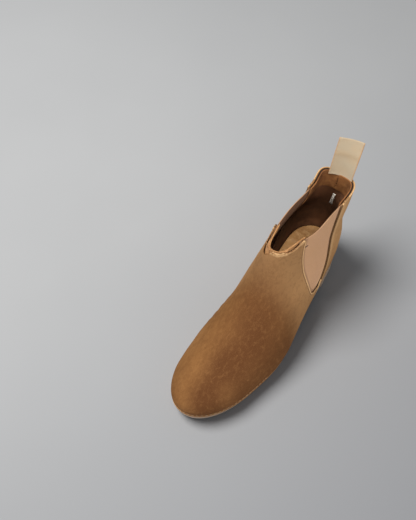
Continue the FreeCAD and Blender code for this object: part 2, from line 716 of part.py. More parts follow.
def welt_stitching():
    """threads on the welt, from one heel breast round the toe to the other"""
    loop = offset_loop(lambda u: edge_width(u) - WELT_STITCH_IN)
    points = [place((x, u, FEATHER(u) + THREAD_R)) for x, u in loop]
    points.append(points[0])
    lengths = running_lengths(points)
    ball, breast = U_BALL - ORIGIN_U, U_BREAST - ORIGIN_U
    groups = {"front": [], "rear": []}
    pitch = lengths[-1] / round(lengths[-1] / WELT_PITCH)
    w = 0.0
    while w < lengths[-1] - 0.5 * pitch:
        a = point_along(points, lengths, w)
        b = point_along(points, lengths, w + WELT_STITCH)
        # no thread crosses the flex line
        if max(a.y, b.y) < ball - 0.5:
            groups["front"].append(rod_between(THREAD_R, a, b))
        elif min(a.y, b.y) > ball + 0.5 and max(a.y, b.y) < breast:
            groups["rear"].append(rod_between(THREAD_R, a, b))
        w += pitch
    return {"welt_stitching_" + tag: Part.Compound(g) for tag, g in groups.items()}


# ---------------------------------------------------------------- pull loop
LOOP_W = 27.0           # webbing width
LOOP_T = 1.5
LOOP_H = 44.0           # length of the loop above its fold line
LOOP_Z = 160.5          # fold line
LOOP_BELOW = 1.2        # the legs reach this far under the fold line
LOOP_HALF_GAP = 0.35    # half gap between the two legs
LOOP_LEAN = 15.0        # degrees the loop leans back
LOOP_YAW = 8.0          # degrees the loop is turned with the back of the collar


def pull_loop():
    """doubled webbing standing up from the back of the collar"""
    foot = on(QUARTER, 0.996, LOOP_C, -(GORE_IN + GORE_OUT) / 2)
    outer, inner = LOOP_T + LOOP_HALF_GAP, LOOP_HALF_GAP
    bottom, top = LOOP_Z - LOOP_BELOW, LOOP_Z + LOOP_H
    shoulder = top - outer

    def at(y, z):
        return V(foot.x - LOOP_W / 2, foot.y + y, z)

    def line(a, b):
        return Part.makeLine(at(*a), at(*b))

    def arc(a, b, c):
        return Part.Arc(at(*a), at(*b), at(*c)).toShape()
    profile = [
        line((-outer, bottom), (-outer, shoulder)),
        arc((-outer, shoulder), (0, top), (outer, shoulder)),
        line((outer, shoulder), (outer, bottom)),
        line((outer, bottom), (inner, bottom)),
        line((inner, bottom), (inner, shoulder)),
        arc((inner, shoulder), (0, top - LOOP_T), (-inner, shoulder)),
        line((-inner, shoulder), (-inner, bottom)),
        line((-inner, bottom), (-outer, bottom))]
    loop = Part.Face(Part.Wire(profile)).extrude(V(LOOP_W, 0, 0))
    hinge = V(foot.x, foot.y, LOOP_Z)
    loop.rotate(hinge, V(1, 0, 0), -LOOP_LEAN)
    loop.rotate(hinge, V(0, 0, 1), LOOP_YAW)
    return loop


# ---------------------------------------------------------------- assembly and export
parts = sole_layers()
add_shank(parts)
add_heel(parts)
for name, sheet in SHEETS.items():
    parts[name] = leaf(*sheet)
parts["topline_tape_rear"] = rear_tape()
GORE_MAP = gore_map()
parts["gore_lateral"] = gore(1, GORE_MAP)
parts["gore_medial"] = gore(-1, GORE_MAP)
for name, (surface, pitch, stitch, lines) in STITCHING.items():
    threads = []
    for start, end in lines:
        threads += thread_row(surface, pitch, stitch, start, end)
    parts[name] = Part.Compound(threads)
parts["bar_tacks"] = Part.Compound([bar_tack(side) for side in (1, -1)])
parts.update(welt_stitching())
parts["pull_loop"] = pull_loop()

for name, shape in parts.items():
    shape.exportStep("parts/%s.step" % name)
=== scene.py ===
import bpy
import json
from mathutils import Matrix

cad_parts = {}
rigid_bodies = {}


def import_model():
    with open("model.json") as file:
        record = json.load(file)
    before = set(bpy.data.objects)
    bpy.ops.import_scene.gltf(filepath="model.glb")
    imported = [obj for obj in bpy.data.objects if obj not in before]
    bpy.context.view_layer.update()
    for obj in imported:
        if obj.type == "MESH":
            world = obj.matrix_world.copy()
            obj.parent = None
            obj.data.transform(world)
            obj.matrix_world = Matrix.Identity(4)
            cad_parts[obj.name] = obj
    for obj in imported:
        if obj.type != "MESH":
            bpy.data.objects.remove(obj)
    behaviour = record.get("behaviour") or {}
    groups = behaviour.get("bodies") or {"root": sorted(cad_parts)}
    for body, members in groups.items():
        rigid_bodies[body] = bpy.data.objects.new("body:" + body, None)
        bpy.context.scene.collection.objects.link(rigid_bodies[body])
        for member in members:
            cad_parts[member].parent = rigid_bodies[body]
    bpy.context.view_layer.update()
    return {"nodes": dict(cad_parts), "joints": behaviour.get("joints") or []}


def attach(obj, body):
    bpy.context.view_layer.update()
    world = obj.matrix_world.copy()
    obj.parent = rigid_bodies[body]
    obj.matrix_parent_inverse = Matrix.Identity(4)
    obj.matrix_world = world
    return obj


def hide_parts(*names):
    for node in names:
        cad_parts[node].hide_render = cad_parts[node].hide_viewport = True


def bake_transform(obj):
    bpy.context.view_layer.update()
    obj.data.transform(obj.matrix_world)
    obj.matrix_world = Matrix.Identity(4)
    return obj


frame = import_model()
import json
import math
import random

import bpy
import numpy as np
from mathutils import Vector, geometry

random.seed(7)
RNG = np.random.default_rng(7)

# ------------------------------------------------------------------ shape of the boot, as in the CAD
# design millimetres: u runs from the toe (0) to the heel (300), z is height, x is outwards from the centre plane
ORIGIN_X, ORIGIN_U = 1.835, 150.925
LEATHER = 1.8
GORE_IN, GORE_OUT = 2.0, 3.1
LINE_IN, LINE_OUT = 3.3, 4.4
WELT_T, SOLE_EDGE, SOLE_SET_IN, WELT_IN, INSOLE_IN, INSOLE_T, SOCK_T = 3.0, 1.3, 2.1, 9.0, 5.0, 2.6, 1.8
U_BALL, U_BREAST, HEEL_TOP_T = 105.0, 234.0, 6.0
LEAN, LEAN_BACK, R_TOE, K_TOE, M_SEC, SEAM_U = 3.5, 4.0, 56.0, 2.6, 2.15, 212.0
THROAT, FLAT_IN = 9.5, 3.5


class Spline:
    """natural cubic spline, vectorised"""
    def __init__(self, pts):
        self.x = np.array([p[0] for p in pts], float)
        self.y = np.array([p[1] for p in pts], float)
        x, y, n = self.x, self.y, len(pts)
        A = np.zeros((n, n))
        d = np.zeros(n)
        A[0, 0] = A[-1, -1] = 1.0
        for i in range(1, n - 1):
            h0, h1 = x[i] - x[i - 1], x[i + 1] - x[i]
            A[i, i - 1], A[i, i], A[i, i + 1] = h0, 2 * (h0 + h1), h1
            d[i] = 6 * ((y[i + 1] - y[i]) / h1 - (y[i] - y[i - 1]) / h0)
        self.M = np.linalg.solve(A, d)

    def __call__(self, v):
        x, y, M = self.x, self.y, self.M
        v = np.asarray(v, float)
        i = np.clip(np.searchsorted(x, v, side="right") - 1, 0, len(x) - 2)
        h = x[i + 1] - x[i]
        a, b = (x[i + 1] - v) / h, (v - x[i]) / h
        r = a * y[i] + b * y[i + 1] + ((a ** 3 - a) * M[i] + (b ** 3 - b) * M[i + 1]) * h * h / 6
        h0, h1 = x[1] - x[0], x[-1] - x[-2]
        lo = y[0] + ((y[1] - y[0]) / h0 - h0 * (2 * M[0] + M[1]) / 6) * (v - x[0])
        hi = y[-1] + ((y[-1] - y[-2]) / h1 + h1 * (2 * M[-1] + M[-2]) / 6) * (v - x[-1])
        return np.where(v <= x[0], lo, np.where(v >= x[-1], hi, r))


class Curve:
    """plane curve through points, parameter 0..1 by arc length"""
    def __init__(self, pts, n=200):
        pts = np.array(pts, float)
        t = np.concatenate([[0], np.cumsum(np.hypot(*np.diff(pts, axis=0).T))])
        t /= t[-1]
        self.sx, self.sy = Spline(np.c_[t, pts[:, 0]]), Spline(np.c_[t, pts[:, 1]])
        k = np.arange(n + 1) / n
        self.P = np.c_[self.sx(k), self.sy(k)]
        s = np.concatenate([[0], np.cumsum(np.hypot(*np.diff(self.P, axis=0).T))])
        self.L, self.n = s[-1], n
        self.tt = s / s[-1]

    def __call__(self, v):
        v = np.asarray(v, float)
        i = np.clip(np.searchsorted(self.tt, v, side="right") - 1, 0, self.n - 1)
        f = (v - self.tt[i]) / (self.tt[i + 1] - self.tt[i])
        return self.sx((i + f) / self.n), self.sy((i + f) / self.n)

    def part(self, a, b):
        return lambda v: self(a + (b - a) * np.asarray(v, float))


def smooth(a, b, v):
    t = np.clip((np.asarray(v, float) - a) / (b - a), 0, 1)
    return t * t * (3 - 2 * t)


FEATHER = Spline([(4, 20.5), (20, 17.6), (45, 15.2), (75, 14), (105, 14), (135, 15.8), (165, 19.5), (195, 23.6), (225, 26.6), (260, 28.3), (300, 29)])
BACK_PTS = [(296, 28.9), (298.2, 38), (298.4, 52), (296.6, 68), (293, 86), (289.4, 104), (286.6, 122), (285.2, 140), (285.5, 157.5)]
TOP_PTS = [(165, 143), (167, 143.3), (173, 145.3), (181, 149.5), (189, 152.7), (197, 153.3), (212, 152.3), (232, 151), (252, 151.5), (269, 154), (285.5, 157.5)]
TL = Curve([(-30, 45), (0, 48), (25, 52), (50, 56.5), (72, 61.5), (94, 68.5), (113, 77.5), (129, 89), (142, 102), (151.5, 116), (159, 130), (165, 143), (168.5, 153), (172, 167)])
BACK = Curve([(296, 20)] + BACK_PTS + [(287, 175)])
UT = Spline([(15, 4.6), (20.5, 3.6), (28, 2.0), (36, 2.4), (46, 4.5), (60, 9)])
XC = Spline([(0, -11), (40, -9.5), (80, -6), (120, -2.5), (160, -0.8), (200, 0), (300, 0)])
M_LAT = Spline([(0, 38), (25, 41.5), (50, 46), (80, 51), (105, 53.5), (130, 52), (155, 47.5), (180, 43.5), (210, 40), (240, 36.5), (270, 33.5), (300, 32.5)])
M_MED = Spline([(0, 33.5), (25, 35.3), (50, 37.3), (80, 41.2), (100, 41.8), (125, 39.5), (150, 36), (180, 33.5), (210, 33), (240, 33.5), (270, 33.5), (300, 33)])
B_SHAFT = Spline([(20, 35), (45, 35.5), (65, 34.5), (85, 31.5), (105, 27.8), (130, 24.5), (150, 23.4), (165, 23.4)])
R_TOP = Spline([(0, 30), (0.12, 30), (0.25, 36), (0.4, 46), (0.55, 56), (0.7, 63), (0.85, 65), (1.0, 64)])
R_BACK = Spline([(20, 36), (50, 37), (80, 38), (105, 37), (125, 31), (142, 24.5), (160, 20)])
SOLE_TOE = Spline([(-6, 10.4), (2, 8.4), (20, 4.6), (40, 1.8), (58, 0.4), (72, 0.0), (73, 0.0)])
SOLE_WAIST = Spline([(107, 0.0), (108, 0.0), (122, 0.7), (140, 3.2), (165, 8.2), (195, 13.0), (225, 15.4), (250, 16.0), (306, 16.0)])


def sole_bottom(u):
    return np.where(u < 72, SOLE_TOE(u), np.where(u < 108, 0.0, SOLE_WAIST(u)))


def nearest(curve, u, z):
    """distance, parameter and side of the nearest point on a curve, for arrays"""
    P, n, step = curve.P, curve.n, 8
    u, z = np.asarray(u, float).ravel(), np.asarray(z, float).ravel()
    C = P[::step]
    k = np.argmin((u[:, None] - C[None, :, 0]) ** 2 + (z[:, None] - C[None, :, 1]) ** 2, axis=1) * step
    best = np.full(u.shape, 1e18)
    bt, bs = np.zeros(u.shape), np.ones(u.shape)
    for o in range(-step, step):
        i = k + o
        ok = (i >= 0) & (i < n)
        i = np.clip(i, 0, n - 1)
        a, b = P[i], P[i + 1]
        d = b - a
        f = np.clip(((u - a[:, 0]) * d[:, 0] + (z - a[:, 1]) * d[:, 1]) / (d ** 2).sum(1), 0, 1)
        q = a + f[:, None] * d
        e = np.where(ok, (q[:, 0] - u) ** 2 + (q[:, 1] - z) ** 2, 1e18)
        m = e < best
        best = np.where(m, e, best)
        bt = np.where(m, curve.tt[i] + f * (curve.tt[i + 1] - curve.tt[i]), bt)
        bs = np.where(m, d[:, 0] * (z - a[:, 1]) - d[:, 1] * (u - a[:, 0]), bs)
    return np.sqrt(best), bt, bs


def rho(u, z):
    shape = np.shape(u)
    u, z = np.asarray(u, float).ravel(), np.asarray(z, float).ravel()
    xi = np.maximum(0.0, 1 - (u - UT(z)) / R_TOE)
    d, q, s = nearest(TL, u, z)
    d = np.where(s > 0, -d, d)
    eta = np.maximum(0.0, 1 - d / R_TOP(q))
    d, q, s = nearest(BACK, u, z)
    d = np.where(s < 0, -d, d)
    zeta = np.maximum(0.0, 1 - d / R_BACK(z))
    nb = 2.0 + 1.4 * smooth(105, 150, z)
    return ((xi ** K_TOE + eta ** K_TOE) ** (1 / K_TOE)).reshape(shape), zeta.reshape(shape), nb.reshape(shape)


def width(side, u, z):
    r, zeta, nb = rho(u, z)
    r, zeta = np.minimum(r, 1.0), np.minimum(zeta, 1.0)
    m = np.where(np.asarray(side) > 0, M_LAT(u), M_MED(u))
    k = smooth(40, 105, z) * smooth(110, 195, u)
    m = m * (1 - k) + B_SHAFT(z) * k
    m = m - np.where(np.asarray(side) < 0, FLAT_IN * smooth(195, 240, u) * smooth(284, 257, u) * smooth(100, 140, z), 0.0)
    w = m * (1 - r ** M_SEC) ** (1 / M_SEC) * (1 - zeta ** nb) ** (1 / nb)
    h = (z - FEATHER(u)) / 12.0
    return np.where(h < 1, w * (1 - 0.05 * (1 - np.maximum(h, -0.3)) ** 2), w)


def centre(u, z):
    return XC(u) + (LEAN + LEAN_BACK * smooth(225, 275, u)) * smooth(60, 150, z) - THROAT * smooth(210, 150, u) * smooth(65, 140, z)


def surf(side, u, z):
    return np.stack([centre(u, z) + side * width(side, u, z), u + 0 * z, z + 0 * u], -1)


def toe_ridge():
    cx, cz = 4 + R_TOE, 26.0
    a0 = math.atan2(float(FEATHER(4)) - cz, float(UT(FEATHER(4))) - cx)
    if a0 < 0:
        a0 += 2 * math.pi
    a = a0 + (math.radians(92) - a0) * np.arange(27) / 26
    lo, hi = np.full(27, 5.0), np.full(27, 90.0)
    for _ in range(40):
        m = (lo + hi) / 2
        ins = rho(cx + m * np.cos(a), cz + m * np.sin(a))[0] < 1
        lo, hi = np.where(ins, m, lo), np.where(ins, hi, m)
    return [(cx + l * math.cos(b), cz + l * math.sin(b)) for l, b in zip(lo, a)]


_t = toe_ridge()
_tl = [tuple(float(c) for c in TL(v / 100)) for v in range(0, 101, 4)]
RIDGE = Curve(_t[::2] + [p for p in _tl if p[0] > _t[-1][0] + 6 and p[1] < 139] + [TOP_PTS[0]])


def bisect(fn, want):
    lo, hi = 0.0, 1.0
    for _ in range(50):
        m = (lo + hi) / 2
        if fn(m) < want:
            lo = m
        else:
            hi = m
    return lo


_b0, _b1 = bisect(lambda v: BACK(v)[1], BACK_PTS[0][1]), bisect(lambda v: BACK(v)[1], BACK_PTS[-1][1])
BACKL = Curve([tuple(float(c) for c in BACK(_b0 + (_b1 - _b0) * i / 32)) for i in range(33)])
U0 = float(RIDGE(0)[0])
FEAT = Curve([(U0 + (296 - U0) * i / 24, float(FEATHER(U0 + (296 - U0) * i / 24))) for i in range(25)])
TOP = Curve(TOP_PTS)
VAMP_EDGE = Curve([(SEAM_U, float(FEATHER(SEAM_U))), (211.9, 30), (211.6, 35), (210.6, 40), (207.4, 44.2), (201.6, 47.4), (194.9, 52.4), (190.2, 59.8), (187.6, 70), (186.8, 86), (187.2, 107), (189, 130), (192.5, 153.1)])
QUARTER_EDGE = Curve([(SEAM_U + 1.0, float(FEATHER(SEAM_U + 1.0))), (213.0, 30), (213.1, 35), (213.7, 40), (216.0, 44.4), (219.8, 48.4), (224.2, 54), (228.6, 62.4), (233.6, 78), (240.2, 101), (246.6, 125), (252, 151.5)])
F_SEAM, F_SEAM2 = bisect(lambda v: FEAT(v)[0], SEAM_U), bisect(lambda v: FEAT(v)[0], SEAM_U + 1.0)
T_EAR, T_BACK = bisect(lambda v: TOP(v)[0], 192.5), bisect(lambda v: TOP(v)[0], 252.0)


def coons(bottom, top, left, right):
    c00, c01, c10, c11 = left(0), left(1), right(0), right(1)

    def f(s, t):
        s, t = np.broadcast_arrays(np.asarray(s, float), np.asarray(t, float))
        A, B, C, D = left(t), right(t), bottom(s), top(s)
        return tuple((1 - s) * A[k] + s * B[k] + (1 - t) * C[k] + t * D[k]
                     - ((1 - s) * (1 - t) * c00[k] + s * (1 - t) * c10[k] + (1 - s) * t * c01[k] + s * t * c11[k]) for k in (0, 1))
    return f


VAMP_MAP = coons(FEAT.part(0, F_SEAM), TOP.part(0, T_EAR), RIDGE, VAMP_EDGE)
QUARTER_MAP = coons(lambda v: FEAT(1 - (1 - F_SEAM2) * np.asarray(v, float)), lambda v: TOP(1 - (1 - T_BACK) * np.asarray(v, float)), BACKL, QUARTER_EDGE)
GL = Curve([(200, 44), (190, 47), (183, 55), (180.3, 67), (179.8, 85), (180, 105), (182, 130), (185.5, 151.0)])
GR = Curve([(208, 43.6), (218, 45.5), (226, 53), (232.5, 63), (239, 78), (247, 100), (254, 125), (259.5, 152.1)])
GB = Curve([(200, 44), (204, 43.3), (208, 43.6)])
GT = TOP.part(bisect(lambda v: TOP(v)[0], 185.5), bisect(lambda v: TOP(v)[0], 259.5))
GL = Curve([tuple(p) for p in GL.P[0:190:27]] + [tuple(float(c) for c in GT(0))])
GR = Curve([tuple(p) for p in GR.P[0:190:27]] + [tuple(float(c) for c in GT(1))])
GORE_MAP = coons(GB, GT, GL, GR)


class Wrapped:
    """surface folded round the ridge or the back line: c runs -1 (inner free edge) .. 0 (fold) .. 1 (outer free edge), r up the boot"""
    def __init__(self, fmap, power, outward=1.0, dense=220, nr=120, nc=160):
        self.fmap, self.p, self.outward = fmap, power, outward
        self.kr, self.kc = np.linspace(0, 1, nr + 1), np.linspace(0, 1, nc + 1)
        lo, hi = np.full(nr + 1, -0.04), np.full(nr + 1, 0.08)
        for _ in range(46):
            m = (lo + hi) / 2
            r_, z_, _n = rho(*fmap(m, self.kr))
            out = np.maximum(r_, z_) >= 1
            lo, hi = np.where(out, m, lo), np.where(out, hi, m)
        self.q0 = (lo + hi) / 2
        q = 1 - np.cos((np.arange(dense + 1) / dense) ** power * np.pi / 2)
        self.I, self.Lr = {}, {}
        for side in (-1, 1):
            T, Q = np.meshgrid(self.kr, q, indexing="ij")
            u, z = fmap(self.q0[:, None] + (1 - self.q0[:, None]) * Q, T)
            p = surf(side, u, z)
            p[:, 0, 0] = centre(u[:, 0], z[:, 0])
            seg = np.linalg.norm(np.diff(p, axis=1), axis=2)
            s = np.concatenate([np.zeros((nr + 1, 1)), np.cumsum(seg, axis=1)], 1)
            self.Lr[side] = s[:, -1]
            self.I[side] = np.array([np.interp(self.kc * s[j, -1], s[j], np.arange(dense + 1) / dense) for j in range(nr + 1)])
        c = np.linspace(-1, 1, 121)
        R, C = np.meshgrid(self.kr, c, indexing="ij")
        g = self.P(C, R)
        self.hc = c
        self.H = np.linalg.norm(np.diff(g, axis=0), axis=2).sum(0)

    def P(self, c, r):
        c, r = np.broadcast_arrays(np.asarray(c, float), np.asarray(r, float))
        a = np.clip(np.abs(c), 0, 1)
        fr, fc = np.clip(r, 0, 1) * (len(self.kr) - 1), a * (len(self.kc) - 1)
        i, j = np.minimum(fr.astype(int), len(self.kr) - 2), np.minimum(fc.astype(int), len(self.kc) - 2)
        fr, fc = fr - i, fc - j
        out = np.zeros(c.shape)
        for side in (-1, 1):
            I = self.I[side]
            v = (1 - fr) * ((1 - fc) * I[i, j] + fc * I[i, j + 1]) + fr * ((1 - fc) * I[i + 1, j] + fc * I[i + 1, j + 1])
            out = np.where((c >= 0) == (side > 0), v, out)
        q = 1 - np.cos(out ** self.p * np.pi / 2)
        q0 = np.interp(np.clip(r, 0, 1), self.kr, self.q0)
        u, z = self.fmap(q0 + (1 - q0) * q, np.clip(r, 0, 1))
        side = np.where(c >= 0, 1, -1)
        p = surf(side, u, z)
        p[..., 0] = np.where(a < 1e-9, centre(u, z), p[..., 0])
        return p

    def L(self, c, r):
        """length in mm of the half row"""
        r = np.clip(np.asarray(r, float), 0, 1)
        return np.where(np.asarray(c) >= 0, np.interp(r, self.kr, self.Lr[1]), np.interp(r, self.kr, self.Lr[-1]))

    def Hc(self, c):
        return np.interp(c, self.hc, self.H)


class Flat:
    """surface on one side of the boot, c 0..1 from front to back"""
    def __init__(self, fmap, side):
        self.fmap, self.side, self.outward = fmap, side, 1.0
        self.kr = np.linspace(0, 1, 61)
        g = self.P(*np.meshgrid(np.linspace(0, 1, 61), self.kr))
        self.Lr = np.linalg.norm(np.diff(g, axis=1), axis=2).sum(1)
        self.H = np.linalg.norm(np.diff(g, axis=0), axis=2).sum(0)

    def P(self, c, r):
        u, z = self.fmap(np.clip(c, 0, 1), np.clip(r, 0, 1))
        return surf(self.side, u, z)

    def L(self, c, r):
        return np.interp(r, self.kr, self.Lr)

    def Hc(self, c):
        return np.interp(c, self.kr, self.H)


def frame_at(skin, c, r, eps=0.004):
    """points and outward normals"""
    c, r = np.broadcast_arrays(np.asarray(c, float), np.asarray(r, float))
    p = skin.P(c, r)
    lo = -1 if isinstance(skin, Wrapped) else 0
    dc = skin.P(np.minimum(c + eps, 1), r) - skin.P(np.maximum(c - eps, lo), r)
    dr = skin.P(c, np.minimum(r + eps, 1)) - skin.P(c, np.maximum(r - eps, 0))
    n = np.cross(dc, dr)
    n /= np.linalg.norm(n, axis=-1, keepdims=True) + 1e-12
    return p, n * skin.sign


def set_sign(skin, c, r):
    skin.sign = 1.0
    p, n = frame_at(skin, np.array([c]), np.array([r]))
    axis = np.array([centre(p[0, 1], p[0, 2]), p[0, 1], p[0, 2]])
    if (n[0] * (p[0] - axis)).sum() < 0:
        skin.sign = -1.0


VAMP = Wrapped(VAMP_MAP, 1.15)
QUARTER = Wrapped(QUARTER_MAP, 1.45)
GORES = {1: Flat(GORE_MAP, 1), -1: Flat(GORE_MAP, -1)}
set_sign(VAMP, 0.8, 0.5)
set_sign(QUARTER, 0.8, 0.5)
set_sign(GORES[1], 0.5, 0.5)
set_sign(GORES[-1], 0.5, 0.5)


# ------------------------------------------------------------------ mesh helpers
def metres(p):
    p = np.asarray(p, float)
    return np.stack([p[..., 0] - ORIGIN_X, p[..., 1] - ORIGIN_U, p[..., 2]], -1) / 1000.0


def make(name, verts, faces, attrs=None, material=None, smooth_faces=True, in_mm=True):
    me = bpy.data.meshes.new(name)
    v = metres(verts) if in_mm else np.asarray(verts, float)
    if isinstance(faces, np.ndarray):
        faces = faces.tolist()
    me.from_pydata(v.tolist(), [], faces)
    me.update()
    if smooth_faces:
        me.polygons.foreach_set("use_smooth", [True] * len(me.polygons))
    for key, val in (attrs or {}).items():
        val = np.asarray(val, float)
        if val.ndim == 1:
            a = me.attributes.new(key, "FLOAT", "POINT")
            a.data.foreach_set("value", val.astype(np.float32))
        else:
            a = me.attributes.new(key, "FLOAT_VECTOR", "POINT")
            a.data.foreach_set("vector", val.astype(np.float32).ravel())
    me.validate()
    o = bpy.data.objects.new(name, me)
    bpy.context.scene.collection.objects.link(o)
    if material is not None:
        me.materials.append(material)
    return o


def quads(nr, nc, idx):
    a, b, c, d = idx[:-1, :-1], idx[:-1, 1:], idx[1:, 1:], idx[1:, :-1]
    return np.stack([a, b, c, d], -1).reshape(-1, 4)


def graded(lo_list, hi_list, n):
    """mm from the low end, mm from the high end and share of the middle, for each line of a graded grid"""
    return [("lo", v) for v in lo_list] + [("mid", k / n) for k in range(1, n)] + [("hi", v) for v in reversed(hi_list)]


def lines(spec, total, lo_last, hi_last):
    """positions 0..total (array) of each line"""
    out = []
    for kind, v in spec:
        if kind == "lo":
            out.append(0 * total + v)
        elif kind == "hi":
            out.append(total - v)
        else:
            out.append(lo_last + (total - hi_last - lo_last) * v)
    return np.stack(out, 0)


EDGE = [0, 0.06, 0.22, 0.45, 0.7, 0.95, 1.25, 1.55, 1.85, 2.1, 2.35, 2.65, 3.1, 3.8, 4.8, 6.2]
SMALL = [0, 0.06, 0.22, 0.5, 0.9, 1.6, 3.0]


def sheet(name, skin, d0, d1, box=(-1, 1, 0, 1), cols=200, rows=110, lo=EDGE, hi=EDGE, bot=SMALL, top=EDGE, relief=None, inner_relief=None, corner=(0, 0, 0, 0), material=None, gap=(0, 0, 0, 0), rim=None):
    """closed sheet between two depths under a skin, with rounded edges.
    corner: radii at low-bottom, high-bottom, low-top, high-top. gap: mm the sheet stops short of each side of its box (low, high, bottom, top)"""
    c0, c1, r0, r1 = box
    sc, sr = graded(lo, hi, cols), graded(bot, top, rows)
    nc, nr = len(sc) - 1, len(sr) - 1
    if isinstance(skin, Wrapped):
        def length(r):
            return np.maximum(0, np.minimum(c1, 0) - c0) * skin.L(-1, r) + np.maximum(0, c1 - np.maximum(c0, 0)) * skin.L(1, r)

        def cmm(x, r):
            """x mm from the low side -> c"""
            ln = np.maximum(0, min(c1, 0) - c0) * skin.L(-1, r)
            if c0 < 0:
                return np.where(x < ln, c0 + x / skin.L(-1, r), (x - ln) / skin.L(1, r) + max(c0, 0))
            return c0 + x / skin.L(1, r)
    else:
        def length(r):
            return (c1 - c0) * skin.L(0, r)

        def cmm(x, r):
            return c0 + x / skin.L(0, r)
    rr = np.linspace(r0, r1, nr + 1)[:, None] * np.ones((1, nc + 1))
    cc = np.linspace(c0, c1, nc + 1)[None, :] * np.ones((nr + 1, 1))
    for _ in range(3):
        tot = (r1 - r0) * skin.Hc(cc) - gap[2] - gap[3]
        Y = np.array([[0.0]])
        col_tot = tot[0]
        Y = lines(sr, col_tot, bot[-1], top[-1])
        rr = r0 + (Y + gap[2]) / skin.Hc(cc)
        totx = length(rr) - gap[0] - gap[1]
        X = np.empty_like(rr)
        for i, (kind, v) in enumerate(sc):
            if kind == "lo":
                X[:, i] = v
            elif kind == "hi":
                X[:, i] = totx[:, i] - v
            else:
                X[:, i] = lo[-1] + (totx[:, i] - lo[-1] - hi[-1]) * v
        cc = cmm(X + gap[0], rr)
    tot = (r1 - r0) * skin.Hc(cc) - gap[2] - gap[3]
    xl, xh, yb, yt = X, totx - X, Y, tot - Y
    xl, xh, yb, yt = [np.maximum(v, 0) for v in (xl, xh, yb, yt)]
    e = np.minimum(np.minimum(xl, xh), np.minimum(yb, yt))
    for rad, (xx, yy, sx, sy) in zip(corner, ((xl, yb, 1, 1), (xh, yb, -1, 1), (xl, yt, 1, -1), (xh, yt, -1, -1))):
        if rad <= 0:
            continue
        m = (xx < rad) & (yy < rad)
        a, b = (rad - xx) / rad, (rad - yy) / rad
        a2, b2 = a * np.sqrt(np.maximum(0, 1 - b * b / 2)), b * np.sqrt(np.maximum(0, 1 - a * a / 2))
        X = np.where(m, X + sx * (rad - a2 * rad - xx), X)
        Y = np.where(m, Y + sy * (rad - b2 * rad - yy), Y)
        e = np.where(m, rad * np.maximum(0, 1 - np.sqrt(a2 * a2 + b2 * b2)), e)
    rr = r0 + (Y + gap[2]) / skin.Hc(cc)
    cc = cmm(X + gap[0], rr)
    p, n = frame_at(skin, cc, rr)
    R = (d1 - d0) / 2
    g = R - np.sqrt(np.maximum(0, R * R - (R - np.minimum(e, R)) ** 2))
    info = dict(c=cc, r=rr, xl=xl, xh=xh, yb=yb, yt=yt, e=e, p=p)
    do = -(d0 + g)
    di = -(d1 - g)
    fade = smooth(0, 0.5, e)
    if relief is not None:
        do = do + relief(info) * fade
    if inner_relief is not None:
        di = di - inner_relief(info) * fade
    outer, inner = p + n * do[..., None], p + n * di[..., None]
    N = (nr + 1) * (nc + 1)
    io = np.arange(N).reshape(nr + 1, nc + 1)
    ii = np.zeros_like(io)
    ii[0, :], ii[-1, :], ii[:, 0], ii[:, -1] = io[0, :], io[-1, :], io[:, 0], io[:, -1]
    ii[1:-1, 1:-1] = N + np.arange((nr - 1) * (nc - 1)).reshape(nr - 1, nc - 1)
    verts = np.concatenate([outer.reshape(-1, 3), inner[1:-1, 1:-1].reshape(-1, 3)])
    fo, fi = quads(nr, nc, io), quads(nr, nc, ii)
    # orient: outer faces must point outwards
    v0, v1, v2 = verts[fo[len(fo) // 2][0]], verts[fo[len(fo) // 2][1]], verts[fo[len(fo) // 2][2]]
    nn = np.cross(v1 - v0, v2 - v0)
    mid = n.reshape(-1, 3)[fo[len(fo) // 2][0]]
    if (nn * mid).sum() > 0:
        fi = fi[:, ::-1]
    else:
        fo = fo[:, ::-1]
    both = lambda a: np.concatenate([np.asarray(a).ravel(), np.asarray(a)[1:-1, 1:-1].ravel()])
    uv = np.stack([X, Y, 0 * X], -1)
    uv = np.concatenate([uv.reshape(-1, 3), uv[1:-1, 1:-1].reshape(-1, 3)])
    face_side = np.concatenate([np.zeros(N), np.ones((nr - 1) * (nc - 1))])
    cr = np.stack([cc, rr, 0 * cc], -1)
    cr = np.concatenate([cr.reshape(-1, 3), cr[1:-1, 1:-1].reshape(-1, 3)])
    o = make(name, verts, np.concatenate([fo, fi]), {"edge": both(e), "side_in": face_side, "uvmm": uv, "cr": cr}, material)
    return o


